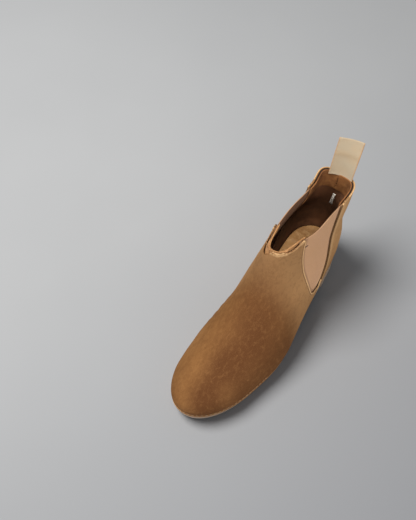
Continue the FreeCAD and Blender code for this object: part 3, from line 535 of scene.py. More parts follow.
def tube_stitches(name, starts, ends, normals, radius, material, sink=0.5, stations=9, ring=10, twist=2.0, flat=0.85):
    """thread stitches as tapered twisted capsules"""
    a, b, n = [np.asarray(v, float) for v in (starts, ends, normals)]
    K = len(a)
    t = b - a
    ln = np.linalg.norm(t, axis=1, keepdims=True)
    t = t / ln
    n = n - (n * t).sum(1, keepdims=True) * t
    n /= np.linalg.norm(n, axis=1, keepdims=True)
    s = np.cross(t, n)
    f = (1 - np.cos(np.linspace(0, np.pi, stations))) / 2
    f = 0.015 + 0.97 * f
    rad = np.minimum(1, np.sqrt(np.maximum(0, 1 - (2 * np.abs(f - 0.5)) ** 6))) * (0.8 + 0.2 * np.sin(np.pi * f))
    th = np.arange(ring) * 2 * np.pi / ring
    R = radius * rad[:, None] * (1 + 0.13 * np.cos(2 * th[None, :] - 2 * np.pi * twist * f[:, None]))
    drop = -sink * radius * (2 * np.abs(f - 0.5)) ** 3
    P = (a[:, None, None, :] + t[:, None, None, :] * (f[None, :, None, None] * ln[:, None, None, :])
         + n[:, None, None, :] * (drop[None, :, None, None] + flat * R[None, :, :, None] * np.cos(th)[None, None, :, None])
         + s[:, None, None, :] * (R[None, :, :, None] * np.sin(th)[None, None, :, None]))
    body = P.reshape(K, -1, 3)
    cap0 = (a + n * drop[0])[:, None, :]
    cap1 = (b + n * drop[-1])[:, None, :]
    verts = np.concatenate([body, cap0, cap1], 1)
    per = stations * ring + 2
    q = []
    for i in range(stations - 1):
        for j in range(ring):
            k = (j + 1) % ring
            q.append((i * ring + j, i * ring + k, (i + 1) * ring + k, (i + 1) * ring + j))
    tri = []
    for j in range(ring):
        k = (j + 1) % ring
        tri.append((stations * ring, k, j))
        tri.append((stations * ring + 1, (stations - 1) * ring + j, (stations - 1) * ring + k))
    faces = []
    for i in range(K):
        o = i * per
        faces += [tuple(v + o for v in f_) for f_ in q] + [tuple(v + o for v in f_) for f_ in tri]
    along = np.repeat(np.tile(np.concatenate([np.repeat(f, ring), [0, 1]]), 1)[None, :], K, 0) * ln
    rnd = np.repeat(RNG.random(K)[:, None], per, 1)
    return make(name, verts.reshape(-1, 3), faces, {"along": along.ravel(), "rnd": rnd.ravel()}, material)


def row_on(skin, path, pitch, length, h, n=500, phase=0.3, keep=None):
    """starts, ends and normals of stitches along path(q) -> (c, r), h mm above the skin"""
    c, r = path(np.linspace(0, 1, n))
    p, nn = frame_at(skin, c, r)
    p = p + nn * (h[:, None] if isinstance(h, np.ndarray) else h)
    s = np.concatenate([[0], np.cumsum(np.linalg.norm(np.diff(p, axis=0), axis=1))])
    w = np.arange(pitch * phase, s[-1] - length, pitch)
    at = lambda v: np.stack([np.interp(v, s, p[:, k]) for k in range(3)], -1)
    an = lambda v: np.stack([np.interp(v, s, nn[:, k]) for k in range(3)], -1)
    return at(w), at(w + length), an(w + length / 2)


def join(*sets):
    return [np.concatenate([s[k] for s in sets]) for k in range(3)]


# ------------------------------------------------------------------ plan outline of the sole
def feather_loop(n=110):
    i = np.arange(161)
    u = U0 + (296 - U0) * (1 - np.cos(np.pi * i / 160)) / 2
    lat, med = surf(1, u, FEATHER(u))[:, :2], surf(-1, u, FEATHER(u))[:, :2]
    pts = np.concatenate([lat[:-1], med[::-1][:-1]])
    s = np.concatenate([[0], np.cumsum(np.hypot(*(np.roll(pts, -1, 0) - pts).T))])
    w = s[-1] * np.arange(n) / n
    q = np.concatenate([pts, pts[:1]])
    out = np.stack([np.interp(w, s, q[:, 0]), np.interp(w, s, q[:, 1])], -1)
    for _ in range(2):
        out = (np.roll(out, 1, 0) + 2 * out + np.roll(out, -1, 0)) / 4
    return out


LOOP0 = feather_loop()


def fine_loop(d, m=760):
    """outline moved outwards by d, resampled by a periodic spline"""
    P = LOOP0
    area = (P[:, 0] * np.roll(P[:, 1], -1) - np.roll(P[:, 0], -1) * P[:, 1]).sum()
    T = np.roll(P, -1, 0) - np.roll(P, 1, 0)
    T /= np.linalg.norm(T, axis=1, keepdims=True)
    dd = d(P[:, 1])[:, None] if callable(d) else d
    Q = P + np.sign(area) * np.c_[T[:, 1], -T[:, 0]] * dd
    n, w = len(Q), 8
    k = np.arange(-w, n + w + 1)
    E = Q[k % n]
    sx, sy = Spline(np.c_[k, E[:, 0]]), Spline(np.c_[k, E[:, 1]])
    v = np.arange(m) * n / m
    out = np.c_[sx(v), sy(v)]
    return out if area > 0 else out[::-1]


def poly_inset(P, d):
    """polygon (counter-clockwise) moved inwards by d"""
    a, b = np.roll(P, 1, 0), np.roll(P, -1, 0)
    t0, t1 = P - a, b - P
    t0 /= np.linalg.norm(t0, axis=1, keepdims=True) + 1e-12
    t1 /= np.linalg.norm(t1, axis=1, keepdims=True) + 1e-12
    n0, n1 = np.c_[-t0[:, 1], t0[:, 0]], np.c_[-t1[:, 1], t1[:, 0]]
    m = n0 + n1
    m /= np.linalg.norm(m, axis=1, keepdims=True) + 1e-12
    k = 1 / np.maximum(0.5, (m * n0).sum(1))
    return P + m * (k * d)[:, None]


def cap_faces(ring, spacing=5.0, margin=2.6):
    """triangulation of the inside of a ring (x, u), with a grid of inner points; returns inner points and triangles over ring+inner indices"""
    lo, hi = ring.min(0), ring.max(0)
    xs, us = np.arange(lo[0], hi[0], spacing), np.arange(lo[1], hi[1], spacing)
    g = np.array([(x + (spacing / 2 if k % 2 else 0), u) for k, u in enumerate(us) for x in xs])
    x, y = g[:, 0][:, None], g[:, 1][:, None]
    a, b = ring, np.roll(ring, -1, 0)
    cond = (a[None, :, 1] > y) != (b[None, :, 1] > y)
    dy = b[None, :, 1] - a[None, :, 1]
    xi = a[None, :, 0] + (y - a[None, :, 1]) * (b[None, :, 0] - a[None, :, 0]) / np.where(np.abs(dy) < 1e-12, 1e-12, dy)
    inside = (cond & (x < xi)).sum(1) % 2 == 1
    dist = np.sqrt((x - a[None, :, 0]) ** 2 + (y - a[None, :, 1]) ** 2).min(1)
    g = g[inside & (dist > margin)]
    n = len(ring)
    allp = np.concatenate([ring, g])
    res = geometry.delaunay_2d_cdt([Vector(p) for p in allp.tolist()], [(i, (i + 1) % n) for i in range(n)], [], 1, 1e-7)
    vs, faces, orig = res[0], res[2], res[3]
    back = {}
    for i, ids in enumerate(orig):
        back[i] = ids[0] if ids else None
    tris = [[back[i] for i in f] for f in faces]
    tris = [t for t in tris if None not in t and len(set(t)) == 3]
    return g, tris


def plate(name, base, top, bottom, rt, rb, material, wall=4, bulge=0.0, spacing=5.0):
    """solid over an outline (x, u) between two height functions of (x, u), with rounded top and bottom edges"""
    arc = np.linspace(0, np.pi / 2, 5)
    prof = []      # (inset, share from top 0 to bottom 1, extra dz)
    for a in arc:
        prof.append((rt * (1 - math.sin(a)), 0.0, -rt * (1 - math.cos(a))))
    for k in range(1, wall):
        f = k / wall
        prof.append((-bulge * math.sin(math.pi * f), f, -rt * (1 - f) + rb * f))
    for a in arc[::-1]:
        prof.append((rb * (1 - math.sin(a)), 1.0, rb * (1 - math.cos(a))))
    rings = []
    for ins, f, dz in prof:
        q = poly_inset(base, ins)
        zt, zb = top(q[:, 0], q[:, 1]), bottom(q[:, 0], q[:, 1])
        rings.append(np.c_[q, zt * (1 - f) + zb * f + dz])
    n, m = len(base), len(rings)
    verts = np.concatenate(rings)
    faces = []
    for k in range(m - 1):
        i = np.arange(n)
        j = (i + 1) % n
        faces += np.stack([k * n + i, (k + 1) * n + i, (k + 1) * n + j, k * n + j], -1).tolist()
    g, tris = cap_faces(rings[0][:, :2], spacing)
    zt, zb = top(g[:, 0], g[:, 1]), bottom(g[:, 0], g[:, 1])
    ot = len(verts)
    verts = np.concatenate([verts, np.c_[g, zt]])
    top_idx = lambda v: v if v < n else ot + v - n
    g2, tris2 = cap_faces(rings[-1][:, :2], spacing)
    ob = len(verts)
    verts = np.concatenate([verts, np.c_[g2, bottom(g2[:, 0], g2[:, 1])]])
    bot_idx = lambda v: (m - 1) * n + v if v < n else ob + v - n

    def area(t, P):
        a, b, c = [P[i] for i in t]
        return (b[0] - a[0]) * (c[1] - a[1]) - (b[1] - a[1]) * (c[0] - a[0])
    for t in tris:
        w = [top_idx(v) for v in t]
        faces.append(w if area(w, verts) > 0 else w[::-1])
    for t in tris2:
        w = [bot_idx(v) for v in t]
        faces.append(w if area(w, verts) < 0 else w[::-1])
    hgt = np.concatenate([np.repeat([f for _, f, _ in prof], n), np.zeros(len(g)), np.ones(len(g2))])
    return make(name, verts, faces, {"down": hgt}, material)


def ring_solid(name, profile, material, m=760, zfun=FEATHER):
    """closed band swept round the outline; profile: list of (offset, dz from the featherline), counter-clockwise seen with outwards to the right"""
    rings = []
    for d, dz in profile:
        q = fine_loop(d, m)
        rings.append(np.c_[q, zfun(q[:, 1]) + dz])
    k, verts = len(rings), np.concatenate(rings)
    faces = []
    i = np.arange(m)
    j = (i + 1) % m
    for a in range(k):
        b = (a + 1) % k
        faces += np.stack([a * m + i, a * m + j, b * m + j, b * m + i], -1).tolist()
    off = np.repeat([d for d, _ in profile], m)
    dz = np.repeat([d for _, d in profile], m)
    s = np.tile(np.arange(m) / m, k)
    return make(name, verts, faces, {"offset": off, "dz": dz, "along": s}, material)


# ------------------------------------------------------------------ materials
def srgb(r, g, b):
    return tuple((c / 255 / 12.92) if c / 255 <= 0.04045 else ((c / 255 + 0.055) / 1.055) ** 2.4 for c in (r, g, b)) + (1.0,)


class Mat:
    """small helper over a node tree"""
    def __init__(self, name, rough=0.8, spec=0.3, sheen=0.0, sheen_tint=(1, 1, 1, 1), sheen_rough=0.5):
        self.m = bpy.data.materials.new(name)
        self.m.use_nodes = True
        self.t = self.m.node_tree
        self.b = self.t.nodes["Principled BSDF"]
        self.b.inputs["Roughness"].default_value = rough
        self.b.inputs["Specular IOR Level"].default_value = spec
        self.b.inputs["Sheen Weight"].default_value = sheen
        self.b.inputs["Sheen Roughness"].default_value = sheen_rough
        self.b.inputs["Sheen Tint"].default_value = sheen_tint
        self.co = self.t.nodes.new("ShaderNodeTexCoord").outputs["Object"]

    def new(self, kind, **props):
        n = self.t.nodes.new(kind)
        for k, v in props.items():
            setattr(n, k, v)
        return n

    def put(self, socket, v):
        if hasattr(v, "is_output"):
            self.t.links.new(v, socket)
        else:
            socket.default_value = v

    def noise(self, scale, detail=4.0, rough=0.55, vec=None, distort=0.0):
        n = self.new("ShaderNodeTexNoise")
        self.put(n.inputs["Vector"], vec if vec is not None else self.co)
        n.inputs["Scale"].default_value = scale
        n.inputs["Detail"].default_value = detail
        n.inputs["Roughness"].default_value = rough
        n.inputs["Distortion"].default_value = distort
        return n.outputs["Fac"]

    def voronoi(self, scale, vec=None, feature="F1"):
        n = self.new("ShaderNodeTexVoronoi", feature=feature)
        self.put(n.inputs["Vector"], vec if vec is not None else self.co)
        n.inputs["Scale"].default_value = scale
        return n.outputs["Distance"]

    def wave(self, scale, vec, axis="X", distort=0.0, profile="SIN", kind="BANDS"):
        n = self.new("ShaderNodeTexWave", wave_type=kind, bands_direction=axis, wave_profile=profile)
        self.put(n.inputs["Vector"], vec)
        n.inputs["Scale"].default_value = scale
        n.inputs["Distortion"].default_value = distort
        return n.outputs["Fac"]

    def scaled(self, sx, sy, sz, vec=None, rot=(0, 0, 0)):
        n = self.new("ShaderNodeMapping")
        self.put(n.inputs["Vector"], vec if vec is not None else self.co)
        n.inputs["Scale"].default_value = (sx, sy, sz)
        n.inputs["Rotation"].default_value = rot
        return n.outputs["Vector"]

    def attr(self, name, vector=False):
        n = self.new("ShaderNodeAttribute", attribute_name=name)
        return n.outputs["Vector"] if vector else n.outputs["Fac"]

    def ramp(self, fac, stops, mode="LINEAR"):
        n = self.new("ShaderNodeValToRGB")
        n.color_ramp.interpolation = mode
        el = n.color_ramp.elements
        while len(el) < len(stops):
            el.new(0.5)
        for e, (pos, col) in zip(el, stops):
            e.position = pos
            e.color = col if len(col) == 4 else tuple(col) + (1,)
        self.put(n.inputs["Fac"], fac)
        return n.outputs["Color"]

    def rng(self, v, a, b, c=0.0, d=1.0):
        n = self.new("ShaderNodeMapRange")
        self.put(n.inputs["Value"], v)
        for k, x in zip(("From Min", "From Max", "To Min", "To Max"), (a, b, c, d)):
            n.inputs[k].default_value = x
        return n.outputs["Result"]

    def math(self, op, a, b=0.0):
        n = self.new("ShaderNodeMath", operation=op)
        self.put(n.inputs[0], a)
        self.put(n.inputs[1], b)
        return n.outputs[0]

    def mix(self, fac, a, b, mode="MIX"):
        n = self.new("ShaderNodeMix", data_type="RGBA", blend_type=mode)
        self.put(n.inputs["Factor"], fac)
        self.put(n.inputs[6], a)
        self.put(n.inputs[7], b)
        return n.outputs[2]

    def colour(self, c):
        self.put(self.b.inputs["Base Color"], c)

    def bump(self, h, dist, strength=1.0, prev=None):
        n = self.new("ShaderNodeBump")
        n.inputs["Distance"].default_value = dist
        n.inputs["Strength"].default_value = strength
        self.put(n.inputs["Height"], h)
        if prev is not None:
            self.put(n.inputs["Normal"], prev)
        self.last = n.outputs["Normal"]
        self.put(self.b.inputs["Normal"], self.last)
        return self.last


def suede(name, base, dark, light, highlight_col, mottled=1.0, seed=0.0):
    m = Mat(name, rough=0.95, spec=0.08, sheen=0.35, sheen_tint=light, sheen_rough=0.5)
    co = m.new("ShaderNodeVectorMath", operation="ADD")
    m.put(co.inputs[0], m.co)
    co.inputs[1].default_value = (seed, seed * 0.7, -seed)
    co = co.outputs[0]
    big = m.noise(11, 2, 0.45, co, 0.2)
    mid = m.noise(38, 3, 0.5, co, 0.25)
    nap = m.noise(300, 5, 0.65, m.scaled(1, 0.5, 0.7, co), 0.5)
    fine = m.noise(1500, 4, 0.7, co)
    c = m.mix(m.math("MULTIPLY", m.rng(big, 0.35, 0.7), 0.75), base, light)
    c = m.mix(m.math("MULTIPLY", m.rng(mid, 0.45, 0.75), 0.4 * mottled), c, dark)
    # broad darker areas: spots of tone mottling, plus painted shade over the lateral forefoot, away from the light,
    # leaving the medial edge and instep lighter
    c = m.mix(m.math("MULTIPLY", m.attr("patch"), 0.95), c, dark)
    # painted highlight: lighter colour on the rolled rims, the bottom edge, the throat rim, the instep and the
    # quarter's strip behind the gore
    c = m.mix(m.math("MULTIPLY", m.attr("pale"), 0.9), c, highlight_col)
    c = m.mix(m.math("MULTIPLY", m.rng(nap, 0.52, 0.32), 0.3 * mottled), c, dark)
    c = m.mix(m.math("MULTIPLY", m.rng(nap, 0.52, 0.72), 0.25 * mottled), c, light)
    c = m.mix(m.math("MULTIPLY", m.rng(fine, 0.5, 0.85), 0.45), c, light)
    c = m.mix(m.math("MULTIPLY", m.rng(fine, 0.48, 0.2), 0.4), c, dark)
    # painted shade: near-black in the needle groove and along the quarter's free edge
    c = m.mix(m.math("MULTIPLY", m.attr("groove"), 0.9), c, tuple(v * 0.22 for v in dark[:3]) + (1,))
    c = m.mix(m.math("MULTIPLY", m.attr("side_in"), 0.5), c, dark)
    m.colour(c)
    n = m.bump(m.noise(2200, 5, 0.8, co), 0.0003, 0.5)
    m.bump(m.noise(380, 5, 0.7, co, 0.5), 0.0006, 0.35, n)
    return m.m


# the last colour given to each suede is its painted highlight colour for the lit rims
SUEDE = suede("vamp_suede", srgb(116, 79, 44), srgb(78, 47, 25), srgb(142, 102, 62), srgb(210, 172, 126))
# the quarter's suede is a lighter copy of the vamp's suede; its extra lightness is painted light on the quarter
SUEDE_Q = suede("quarter_suede", srgb(155, 116, 75), srgb(110, 74, 43), srgb(179, 140, 97), srgb(204, 166, 120), 0.85, 3.1)


def make_elastic():
    m = Mat("gore_elastic", rough=0.82, spec=0.25, sheen=0.35, sheen_tint=srgb(214, 176, 146))
    uv = m.attr("uvmm", True)
    rib = m.wave(0.1, m.scaled(3.1416 / 1.25 * 3.183, 0, 0, uv))
    knit = m.wave(0.1, m.scaled(0, 3.1416 / 0.55 * 3.183, 0, uv), axis="Y", distort=0.4)
    # painted light and shade: rib crests are painted lighter and troughs darker, in step with the rib relief
    g = m.attr("ribs")
    c = m.mix(m.rng(g, -1, 1), srgb(160, 118, 82), srgb(204, 164, 126))
    c = m.mix(m.math("MULTIPLY", knit, 0.22), c, srgb(120, 82, 58))
    c = m.mix(m.math("MULTIPLY", m.rng(m.noise(45, 4), 0.4, 0.7), 0.3), c, srgb(182, 142, 116))
    c = m.mix(m.math("MULTIPLY", m.rng(m.noise(1500, 3), 0.5, 0.8), 0.35), c, srgb(196, 158, 132))
    # painted shade along the gore's borders, under the vamp's and the quarter's edges
    c = m.mix(m.math("MULTIPLY", m.attr("tucked"), 0.8), c, srgb(66, 40, 26))
    c = m.mix(m.math("MULTIPLY", m.attr("side_in"), 0.97), c, srgb(82, 51, 32))
    m.colour(c)
    n = m.bump(knit, 0.0001, 0.5)
    m.bump(m.noise(2500, 3), 0.00012, 0.4, n)
    return m.m


def leather(name, base, dark, light, rough=0.55, grain=900, wrinkle=0.0, spec=0.4):
    m = Mat(name, rough=rough, spec=spec)
    big = m.noise(25, 4, 0.55)
    mid = m.noise(140, 5, 0.6)
    c = m.mix(m.rng(big, 0.35, 0.68), dark, base)
    c = m.mix(m.math("MULTIPLY", m.rng(mid, 0.45, 0.75), 0.5), c, light)
    pores = m.voronoi(grain)
    c = m.mix(m.math("MULTIPLY", m.rng(pores, 0.25, 0.02), 0.35), c, dark)
    m.colour(c)
    m.put(m.b.inputs["Roughness"], m.rng(mid, 0.3, 0.7, rough - 0.1, rough + 0.14))
    n = m.bump(pores, 0.00022, 0.5)
    n = m.bump(m.noise(600, 5, 0.7), 0.0003, 0.35, n)
    if wrinkle:
        w = m.noise(1.0, 4, 0.6, m.scaled(60, 190, 60, rot=(0, 0, 0.7)), 0.7)
        m.bump(w, 0.0022 * wrinkle, 0.6, n)
    return m.m


def make_thread(name, base, dark):
    m = Mat(name, rough=0.7, spec=0.3, sheen=0.2)
    a = m.attr("along")
    strand = m.wave(0.1, m.scaled(1, 1, 1, m.attr("along", True)))
    c = m.mix(m.rng(m.math("SINE", m.math("MULTIPLY", a, 6.5)), -1, 1), dark, base)
    c = m.mix(m.math("MULTIPLY", m.attr("rnd"), 0.3), c, dark)
    c = m.mix(m.math("MULTIPLY", m.noise(2200, 3), 0.3), c, dark)
    m.colour(c)
    m.bump(m.noise(3000, 4), 0.00012, 0.6)
    return m.m


def make_webbing():
    m = Mat("loop_webbing", rough=0.88, spec=0.15, sheen=0.4, sheen_tint=srgb(220, 205, 180))
    uv = m.attr("uvmm", True)
    sep = m.new("ShaderNodeSeparateXYZ")
    m.put(sep.inputs[0], uv)
    x, y = sep.outputs[0], sep.outputs[1]
    wp = m.math("SINE", m.math("MULTIPLY", x, 2 * math.pi / 1.5))
    wf = m.math("SINE", m.math("MULTIPLY", y, 2 * math.pi / 1.1))
    weave = m.math("MULTIPLY", wp, wf)
    c = m.mix(m.rng(weave, -1, 1), srgb(148, 131, 106), srgb(184, 169, 145))
    # painted shade: a soft darker band across the loop at its fold
    c = m.mix(m.math("MULTIPLY", m.attr("crease"), 0.35), c, srgb(140, 112, 78))
    c = m.mix(m.math("MULTIPLY", m.rng(m.noise(90, 4), 0.4, 0.7), 0.4), c, srgb(176, 150, 118))
    c = m.mix(m.math("MULTIPLY", m.rng(m.attr("edge"), 1.6, 0.2), 0.7), c, srgb(176, 128, 84))
    c = m.mix(m.math("MULTIPLY", m.rng(m.noise(2200, 4, 0.7), 0.5, 0.8), 0.4), c, srgb(206, 190, 166))
    m.colour(c)
    n = m.bump(weave, 0.00025, 0.6)
    m.bump(m.noise(3200, 4, 0.7), 0.0002, 0.5, n)
    return m.m


def make_rubber():
    m = Mat("sole_crepe", rough=0.55, spec=0.35)
    big, mid = m.noise(22, 4), m.noise(160, 5, 0.6)
    c = m.mix(m.rng(big, 0.35, 0.7), srgb(222, 190, 162), srgb(230, 202, 174))
    c = m.mix(m.math("MULTIPLY", m.rng(mid, 0.5, 0.8), 0.35), c, srgb(206, 170, 138))
    c = m.mix(m.math("MULTIPLY", m.rng(m.noise(900, 4, 0.7), 0.55, 0.8), 0.3), c, srgb(196, 158, 126))
    m.colour(c)
    m.b.inputs["Subsurface Weight"].default_value = 0.06
    m.b.inputs["Subsurface Radius"].default_value = (0.004, 0.002, 0.001)
    n = m.bump(m.noise(500, 5, 0.65), 0.0004, 0.35)
    m.bump(m.voronoi(420), 0.0003, 0.25, n)
    return m.m


def make_welt():
    m = Mat("welt_leather", rough=0.6, spec=0.35)
    c = m.mix(m.rng(m.noise(60, 5), 0.35, 0.7), srgb(196, 132, 70), srgb(216, 160, 98))
    c = m.mix(m.math("MULTIPLY", m.rng(m.noise(900, 4), 0.45, 0.8), 0.4), c, srgb(150, 92, 48))
    off = m.attr("offset")
    top = m.rng(m.attr("dz"), -0.5, -0.2)
    # painted shadow: near-black on the welt's top inside its outer rim, where the upper meets the welt
    c = m.mix(m.math("MULTIPLY", m.math("MULTIPLY", m.rng(off, 0.95, 0.7), top), 0.8), c, srgb(24, 16, 11))
    m.colour(c)
    m.bump(m.noise(1200, 4), 0.0002, 0.5)
    return m.m


def make_plain(name, a, b, scale, rough=0.8, spec=0.2, metal=0.0, bump=0.0002, fibre=None):
    m = Mat(name, rough=rough, spec=spec)
    c = m.mix(m.rng(m.noise(scale, 5, 0.6), 0.35, 0.7), a, b)
    c = m.mix(m.math("MULTIPLY", m.rng(m.noise(scale * 9, 4), 0.45, 0.8), 0.4), c, a)
    if fibre:
        w = m.noise(fibre, 3, 0.6, m.scaled(1, 0.15, 1))
        c = m.mix(m.math("MULTIPLY", m.rng(w, 0.45, 0.7), 0.4), c, b)
    m.colour(c)
    m.b.inputs["Metallic"].default_value = metal
    m.bump(m.noise(scale * 12, 4), bump, 0.5)
    return m.m


def make_label():
    m = Mat("label_cloth", rough=0.85, spec=0.15)
    uv = m.attr("uvmm", True)
    sep = m.new("ShaderNodeSeparateXYZ")
    m.put(sep.inputs[0], uv)
    w = m.math("MULTIPLY", m.math("SINE", m.math("MULTIPLY", sep.outputs[0], 2 * math.pi / 0.5)), m.math("SINE", m.math("MULTIPLY", sep.outputs[1], 2 * math.pi / 0.5)))
    c = m.mix(m.rng(w, -1, 1), srgb(198, 192, 182), srgb(226, 222, 214))
    c = m.mix(m.math("MULTIPLY", m.rng(m.noise(300, 4), 0.4, 0.7), 0.3), c, srgb(184, 174, 160))
    m.colour(c)
    m.bump(w, 0.00012, 0.5)
    return m.m


ELASTIC = make_elastic()
LINING = leather("lining_leather", srgb(88, 55, 34), srgb(60, 36, 21), srgb(110, 74, 47), 0.72, 800, 0.0, 0.2)
FACING = leather("facing_leather", srgb(108, 69, 36), srgb(76, 45, 22), srgb(140, 97, 55), 0.8, 700, 0.0, 0.18)
FACING_F = leather("facing_leather_front", srgb(168, 124, 80), srgb(138, 96, 58), srgb(190, 148, 104), 0.85, 700, 0.0, 0.15)
SOCK = leather("sock_leather", srgb(166, 124, 78), srgb(134, 96, 56), srgb(192, 152, 102), 0.5, 650, 1.0, 0.4)
THREAD = make_thread("thread_tan", srgb(186, 140, 92), srgb(128, 86, 50))
THREAD_L = make_thread("thread_pale", srgb(204, 176, 138), srgb(140, 104, 70))
THREAD_D = make_thread("thread_dark", srgb(58, 38, 26), srgb(30, 19, 13))
WEB = make_webbing()
RUBBER = make_rubber()
WELT = make_welt()
STIFF = make_plain("stiffener_board", srgb(150, 132, 104), srgb(188, 172, 142), 90, fibre=600)
TAPE = make_plain("topline_tape", srgb(30, 21, 16), srgb(52, 37, 28), 400, fibre=900)
TAPE_F = make_plain("topline_tape_tan", srgb(140, 98, 60), srgb(176, 132, 90), 400, fibre=900)
CORK = make_plain("cork_filler", srgb(96, 62, 34), srgb(172, 126, 78), 260, bump=0.0004)
BOARD = make_plain("insole_board", srgb(150, 112, 72), srgb(186, 150, 106), 120, fibre=700)
STEEL = make_plain("shank_steel", srgb(120, 122, 126), srgb(178, 180, 184), 60, rough=0.34, spec=0.5, metal=1.0, bump=0.00005)
LABEL = make_label()


def vamp_like(o, node):
    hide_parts(*([node] if isinstance(node, str) else node))
    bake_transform(o)
    return o


def quarter_like(o, node):
    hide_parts(*([node] if isinstance(node, str) else node))
    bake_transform(o)
    return o


def soft_noise(p, seed, scale, amp):
    """smooth low-amplitude unevenness"""
    r = np.random.default_rng(seed)
    out = 0
    for k in range(7):
        d = r.normal(size=3)
        d /= np.linalg.norm(d)
        w = scale * (0.6 + 0.9 * r.random())
        out = out + np.sin((p * d).sum(-1) * 2 * np.pi / w + r.random() * 6.28)
    return out / 7 * amp


LOOP_C = 0.519
GROOVE = 2.15      # mm from the edge to the needle row


def trough(x, at, w):
    return np.exp(-((x - at) / w) ** 2)


def vamp_relief(i):
    side = np.minimum(i["xl"], i["xh"])
    ed = np.minimum(side, i["yt"])
    h = 0.28 * trough(ed, 1.05, 0.75) - 0.42 * trough(ed, GROOVE, 0.34)
    p = i["p"]
    soft = smooth(3, 12, ed)
    u, z = p[..., 1], p[..., 2]
    h = h + soft_noise(p, 3, 46, 0.5) * soft + soft_noise(p, 4, 19, 0.16) * soft
    # faint creases where the foot bends
    band = smooth(92, 108, u) * (1 - smooth(124, 146, u)) * smooth(24, 44, z)
    h = h + band * 0.22 * np.sin((u + 0.35 * p[..., 0] + 2.5 * np.sin(p[..., 0] / 9)) * 2 * np.pi / 11.0)
    return h * smooth(-0.2, 3.5, i["yb"])


def quarter_relief(i, back_low):
    """back_low: True if the back seam is on the low side of the columns"""
    back = i["xl"] if back_low else i["xh"]
    free = i["xh"] if back_low else i["xl"]
    ed = np.minimum(free, i["yt"])
    h = 0.26 * trough(ed, 1.05, 0.75) - 0.40 * trough(ed, GROOVE, 0.34)
    h = h - 0.30 * trough(back, GROOVE, 0.34) + 0.12 * trough(back, 1.1, 0.7)
    soft = smooth(3, 12, np.minimum(ed, back))
    p = i["p"]
    h = h + soft_noise(p, 13, 48, 0.45) * soft + soft_noise(p, 14, 20, 0.14) * soft
    return h * smooth(-0.2, 3.5, i["yb"])


def add_attr(o, key, fn):
    """float attribute from the mesh's own stored columns"""
    me = o.data
    n = len(me.vertices)
    e = np.zeros(n, np.float32)
    me.attributes["edge"].data.foreach_get("value", e)
    uv = np.zeros(n * 3, np.float32)
    me.attributes["uvmm"].data.foreach_get("vector", uv)
    si = np.zeros(n, np.float32)
    me.attributes["side_in"].data.foreach_get("value", si)
    cr = np.zeros(n * 3, np.float32)
    me.attributes["cr"].data.foreach_get("vector", cr)
    val = np.asarray(fn(e, uv.reshape(-1, 3), si, cr.reshape(-1, 3)), np.float32)
    a = me.attributes.new(key, "FLOAT", "POINT")
    a.data.foreach_set("value", val)


def seam_marks(o, skin):
    """painted shade in the needle groove, painted highlight on the rolled rims, and broad darker patches that are
    partly tone mottling and partly painted shade
    """
    me = o.data
    co = np.zeros(len(me.vertices) * 3, np.float32)
    me.vertices.foreach_get("co", co)
    co = co.reshape(-1, 3) * 1000
    x, u, z = co[:, 0] + ORIGIN_X, co[:, 1] + ORIGIN_U, co[:, 2]

    def free(cr):
        c, r = cr[:, 0].astype(float), cr[:, 1].astype(float)
        return (1 - np.abs(c)) * skin.L(np.where(c >= 0, 1, -1), r)

    # painted shade: a dark line in the needle groove and, on the quarter above 47 mm, a dark line along its free edge
    def groove(e, uv, si, cr):
        g = np.maximum(trough(e, GROOVE, 0.26), 0.75 * smooth(1.9, 2.3, e) * smooth(3.6, 2.6, e)) * (uv[:, 1] > 3)
        if skin is VAMP:
            g = g * smooth(2.0, 6.0, nearest(TOP, u.astype(float), z.astype(float))[0])
        if skin is QUARTER:
            g = np.maximum(g, 1.1 * smooth(1.0, 0.45, free(cr)) * (z > 47))
        return np.clip(g, 0, 1) * (1 - si)

    # painted highlight: the rolled rims, the bottom edge, the throat rim, the instep and the quarter's strip behind the
    # gore are painted lighter where light catches them
    def pale(e, uv, si, cr):
        rim = smooth(2.1, 1.6, e) * (uv[:, 1] > 3)
        if skin is VAMP:
            wob = 0.5 * np.sin(cr[:, 0] * 41) * np.sin(cr[:, 0] * 17 + 1)
            rim = np.maximum(rim * smooth(1.0, 7.0, nearest(TOP, u.astype(float), z.astype(float))[0]), 0.58 * smooth(4.9, 3.2, nearest(TOP, u.astype(float), z.astype(float))[0] + wob))
        if skin is QUARTER:
            rim = rim * 0.9 + 0.62 * smooth(11.0, 3.0, free(cr)) * smooth(40, 70, z)
        else:
            rim = rim + 0.3 * smooth(128, 180, u) * smooth(0.9, 0.3, rim)
        return (1 - si) * np.clip(0.9 * rim + 0.8 * smooth(2.4, 0.6, uv[:, 1]) + 0.15 * smooth(5.5, 2.4, e), 0, 1)

    # vamp: a broad darker area over the lateral forefoot, which is painted shade, plus spots of tone mottling; quarter:
    # tone mottling only
    def patch(e, uv, si, cr):
        spot = lambda cx, cu, rx, ru: np.exp(-((x - cx) / rx) ** 2 - ((u - cu) / ru) ** 2)
        v = 0.86 * smooth(-30, 6, x + 0.1 * u - 6) * smooth(186, 132, u + 0.25 * x) + 0.2 * spot(8, 62, 20, 30) + 0.22 * spot(4, 22, 22, 11) + 0.12 * spot(26, 100, 14, 26)
        v = v - 0.16 * spot(22, 44, 9, 12) - 0.10 * spot(-2, 96, 10, 22)
        if skin is QUARTER:
            v = 0.12 + 0.15 * np.sin(u / 14) * np.sin(z / 21)
        return np.clip(v + 0.07 * np.sin(x / 9 + u / 17) * np.sin(u / 12 - x / 15), 0, 1) * (1 - si)
    add_attr(o, "groove", groove)
    add_attr(o, "pale", pale)
    add_attr(o, "patch", patch)


